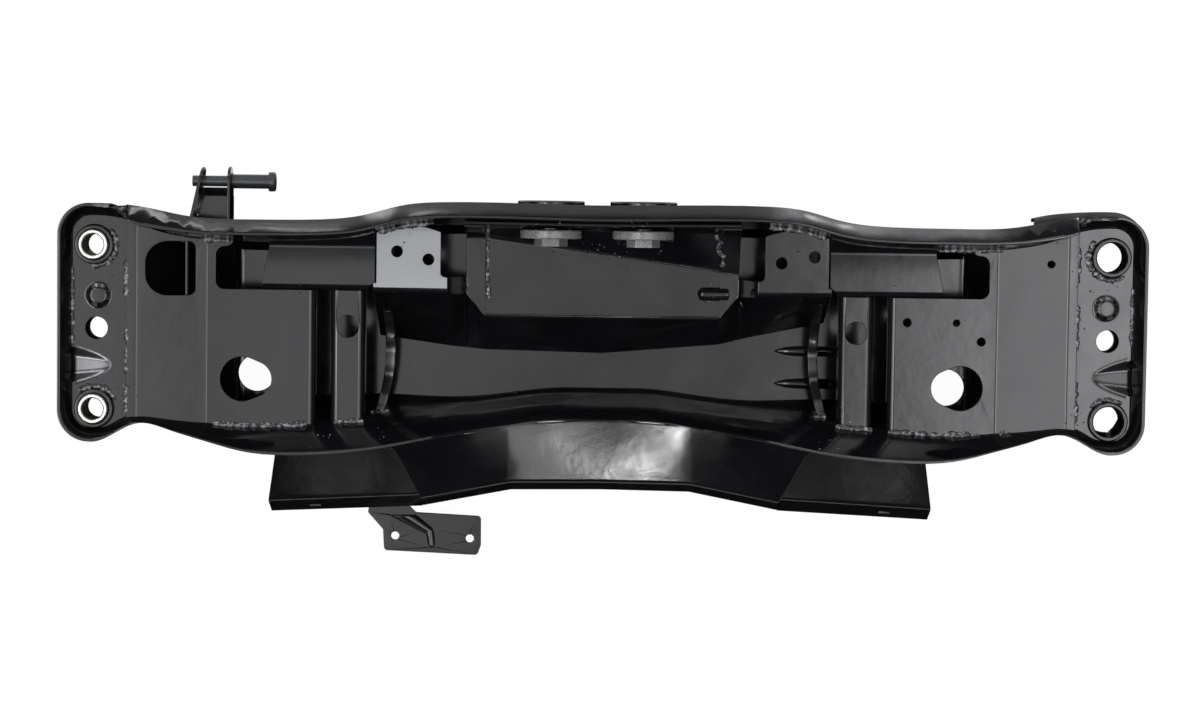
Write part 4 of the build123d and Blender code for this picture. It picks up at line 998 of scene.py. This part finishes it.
class SUBFRAME_OT_stage(Operator):
    """Set the floor, the soft studio light and the camera"""
    bl_idname = "subframe.stage"
    bl_label = "Stage"

    def execute(self, context):
        scene = context.scene
        light = scene.subframe_light
        scene.view_settings.view_transform = "Standard"
        world = bpy.data.worlds.new("studio_room")
        scene.world = world
        world.use_nodes = True
        tree = world.node_tree
        tree.nodes.clear()
        where = add(tree, "ShaderNodeTexCoord").outputs["Generated"]
        way = add(tree, "ShaderNodeSeparateXYZ", {0: where}).outputs
        levels = []
        for axis, places in (("X", ROOM_ROW), ("Y", ROOM_DEPTH)):
            along = add(tree, "ShaderNodeMapRange", {"Value": way[axis], "From Min": -1.0,
                                                     "From Max": 1.0}).outputs[0]
            row = add(tree, "ShaderNodeValToRGB", {0: along})
            row.color_ramp.interpolation = "EASE"
            for place, level in places:
                stop = row.color_ramp.elements.new((place + 1) / 2)
                stop.color = (level, level, level, 1.0)
            # A new ramp ends in white, which would light the horizon
            row.color_ramp.elements[-1].color = stop.color
            levels.append(row.outputs[0])
        # The room darkens towards the horizon, and what is seen below it is white
        down = add(tree, "ShaderNodeMapRange", {"Value": way["Z"], "From Min": 0.15, "From Max": 0.55,
                                                "To Min": 0.12}, interpolation_type="SMOOTHSTEP").outputs[0]
        level = times(tree, times(tree, levels[0], down), times(tree, levels[1], light.strength))
        room = add(tree, "ShaderNodeBackground", {"Color": (*light.sky, 1.0), "Strength": level}).outputs[0]
        white = add(tree, "ShaderNodeBackground", {"Color": (1.0, 1.0, 1.0, 1.0)}).outputs[0]
        low = add(tree, "ShaderNodeMapRange", {"Value": way["Z"], "From Min": 0.1,
                                               "From Max": 0.04}).outputs[0]
        seen = times(tree, seen_rays(tree), low)
        mixed = add(tree, "ShaderNodeMixShader", {0: seen, 1: room, 2: white}).outputs[0]
        add(tree, "ShaderNodeOutputWorld", {"Surface": mixed})

        # A little below the part, so that their faces don't coincide
        board("floor_board", PAINTS["floor"], (6.0, 6.0), (0, 0, -0.4 * MM))
        card = board("black_card", PAINTS["card"], (0.6, 0.36), (0, -0.18, 0))
        card.visible_camera = False
        card.visible_shadow = False
        card.visible_diffuse = False

        tilt, roll = radians(EYE_TILT), radians(EYE_ROLL)
        back = Vector((0, sin(tilt), cos(tilt)))
        up = Vector((0, cos(tilt), -sin(tilt)))
        right = Vector((cos(roll), 0, 0)) + up * sin(roll)
        above = Vector((-sin(roll), 0, 0)) + up * cos(roll)
        lens = bpy.data.cameras.new("camera")
        lens.sensor_fit = "HORIZONTAL"
        lens.sensor_width = SENSOR
        lens.lens = SENSOR * FOCAL_PIXELS / FRAME_PIXELS
        eye = bpy.data.objects.new("camera", lens)
        eye.matrix_world = Matrix.Translation(at(*EYE)) @ Matrix((right, above, back)).transposed().to_4x4()
        scene.collection.objects.link(eye)
        scene.camera = eye

        spots = [("apron_softbox", 0, -100, (0.7, 0.8), light.apron)]
        spots += [(name, x, y, size, share * light.spot) for name, x, y, size, share in HOT_SPOTS]
        for name, x, y, size, bright in spots:
            spot, shine = shine_at(x, y)
            sight = (spot - at(*EYE)).normalized()
            hang_lamp(name, spot + LAMP_REACH * sight.reflect(shine), spot, size, bright)
        for place in CORNERS:
            hang_lamp("corner_softbox", Vector(place), Vector(), CORNER_SIZE, light.corner)
        return {"FINISHED"}


class SUBFRAME_PT_panel(Panel):
    """The steps of the finish, in order"""
    bl_idname = "SUBFRAME_PT_panel"
    bl_label = "Subframe"
    bl_space_type = "VIEW_3D"
    bl_region_type = "UI"
    bl_category = "Subframe"

    def draw(self, context):
        for step in STEPS:
            self.layout.operator(step.bl_idname)
        scene = context.scene
        for settings in (scene.subframe_sizes, scene.subframe_paints, scene.subframe_light):
            for name in settings.__annotations__:
                self.layout.prop(settings, name)


STEPS = (SUBFRAME_OT_paints, SUBFRAME_OT_shell, SUBFRAME_OT_sheets, SUBFRAME_OT_pressings,
         SUBFRAME_OT_turned, SUBFRAME_OT_welds, SUBFRAME_OT_spatter, SUBFRAME_OT_stage)
CLASSES = (SubframeSizes, SubframePaints, SubframeLight) + STEPS + (SUBFRAME_PT_panel,)
PAINTS = {}


def register():
    for item in CLASSES:
        bpy.utils.register_class(item)
    bpy.types.Scene.subframe_sizes = PointerProperty(type=SubframeSizes)
    bpy.types.Scene.subframe_paints = PointerProperty(type=SubframePaints)
    bpy.types.Scene.subframe_light = PointerProperty(type=SubframeLight)


def unregister():
    del bpy.types.Scene.subframe_light
    del bpy.types.Scene.subframe_paints
    del bpy.types.Scene.subframe_sizes
    for item in reversed(CLASSES):
        bpy.utils.unregister_class(item)


def main():
    register()
    for step in STEPS:
        group_name, verb = step.bl_idname.split(".")
        getattr(getattr(bpy.ops, group_name), verb)()


if __name__ == "__main__":
    main()
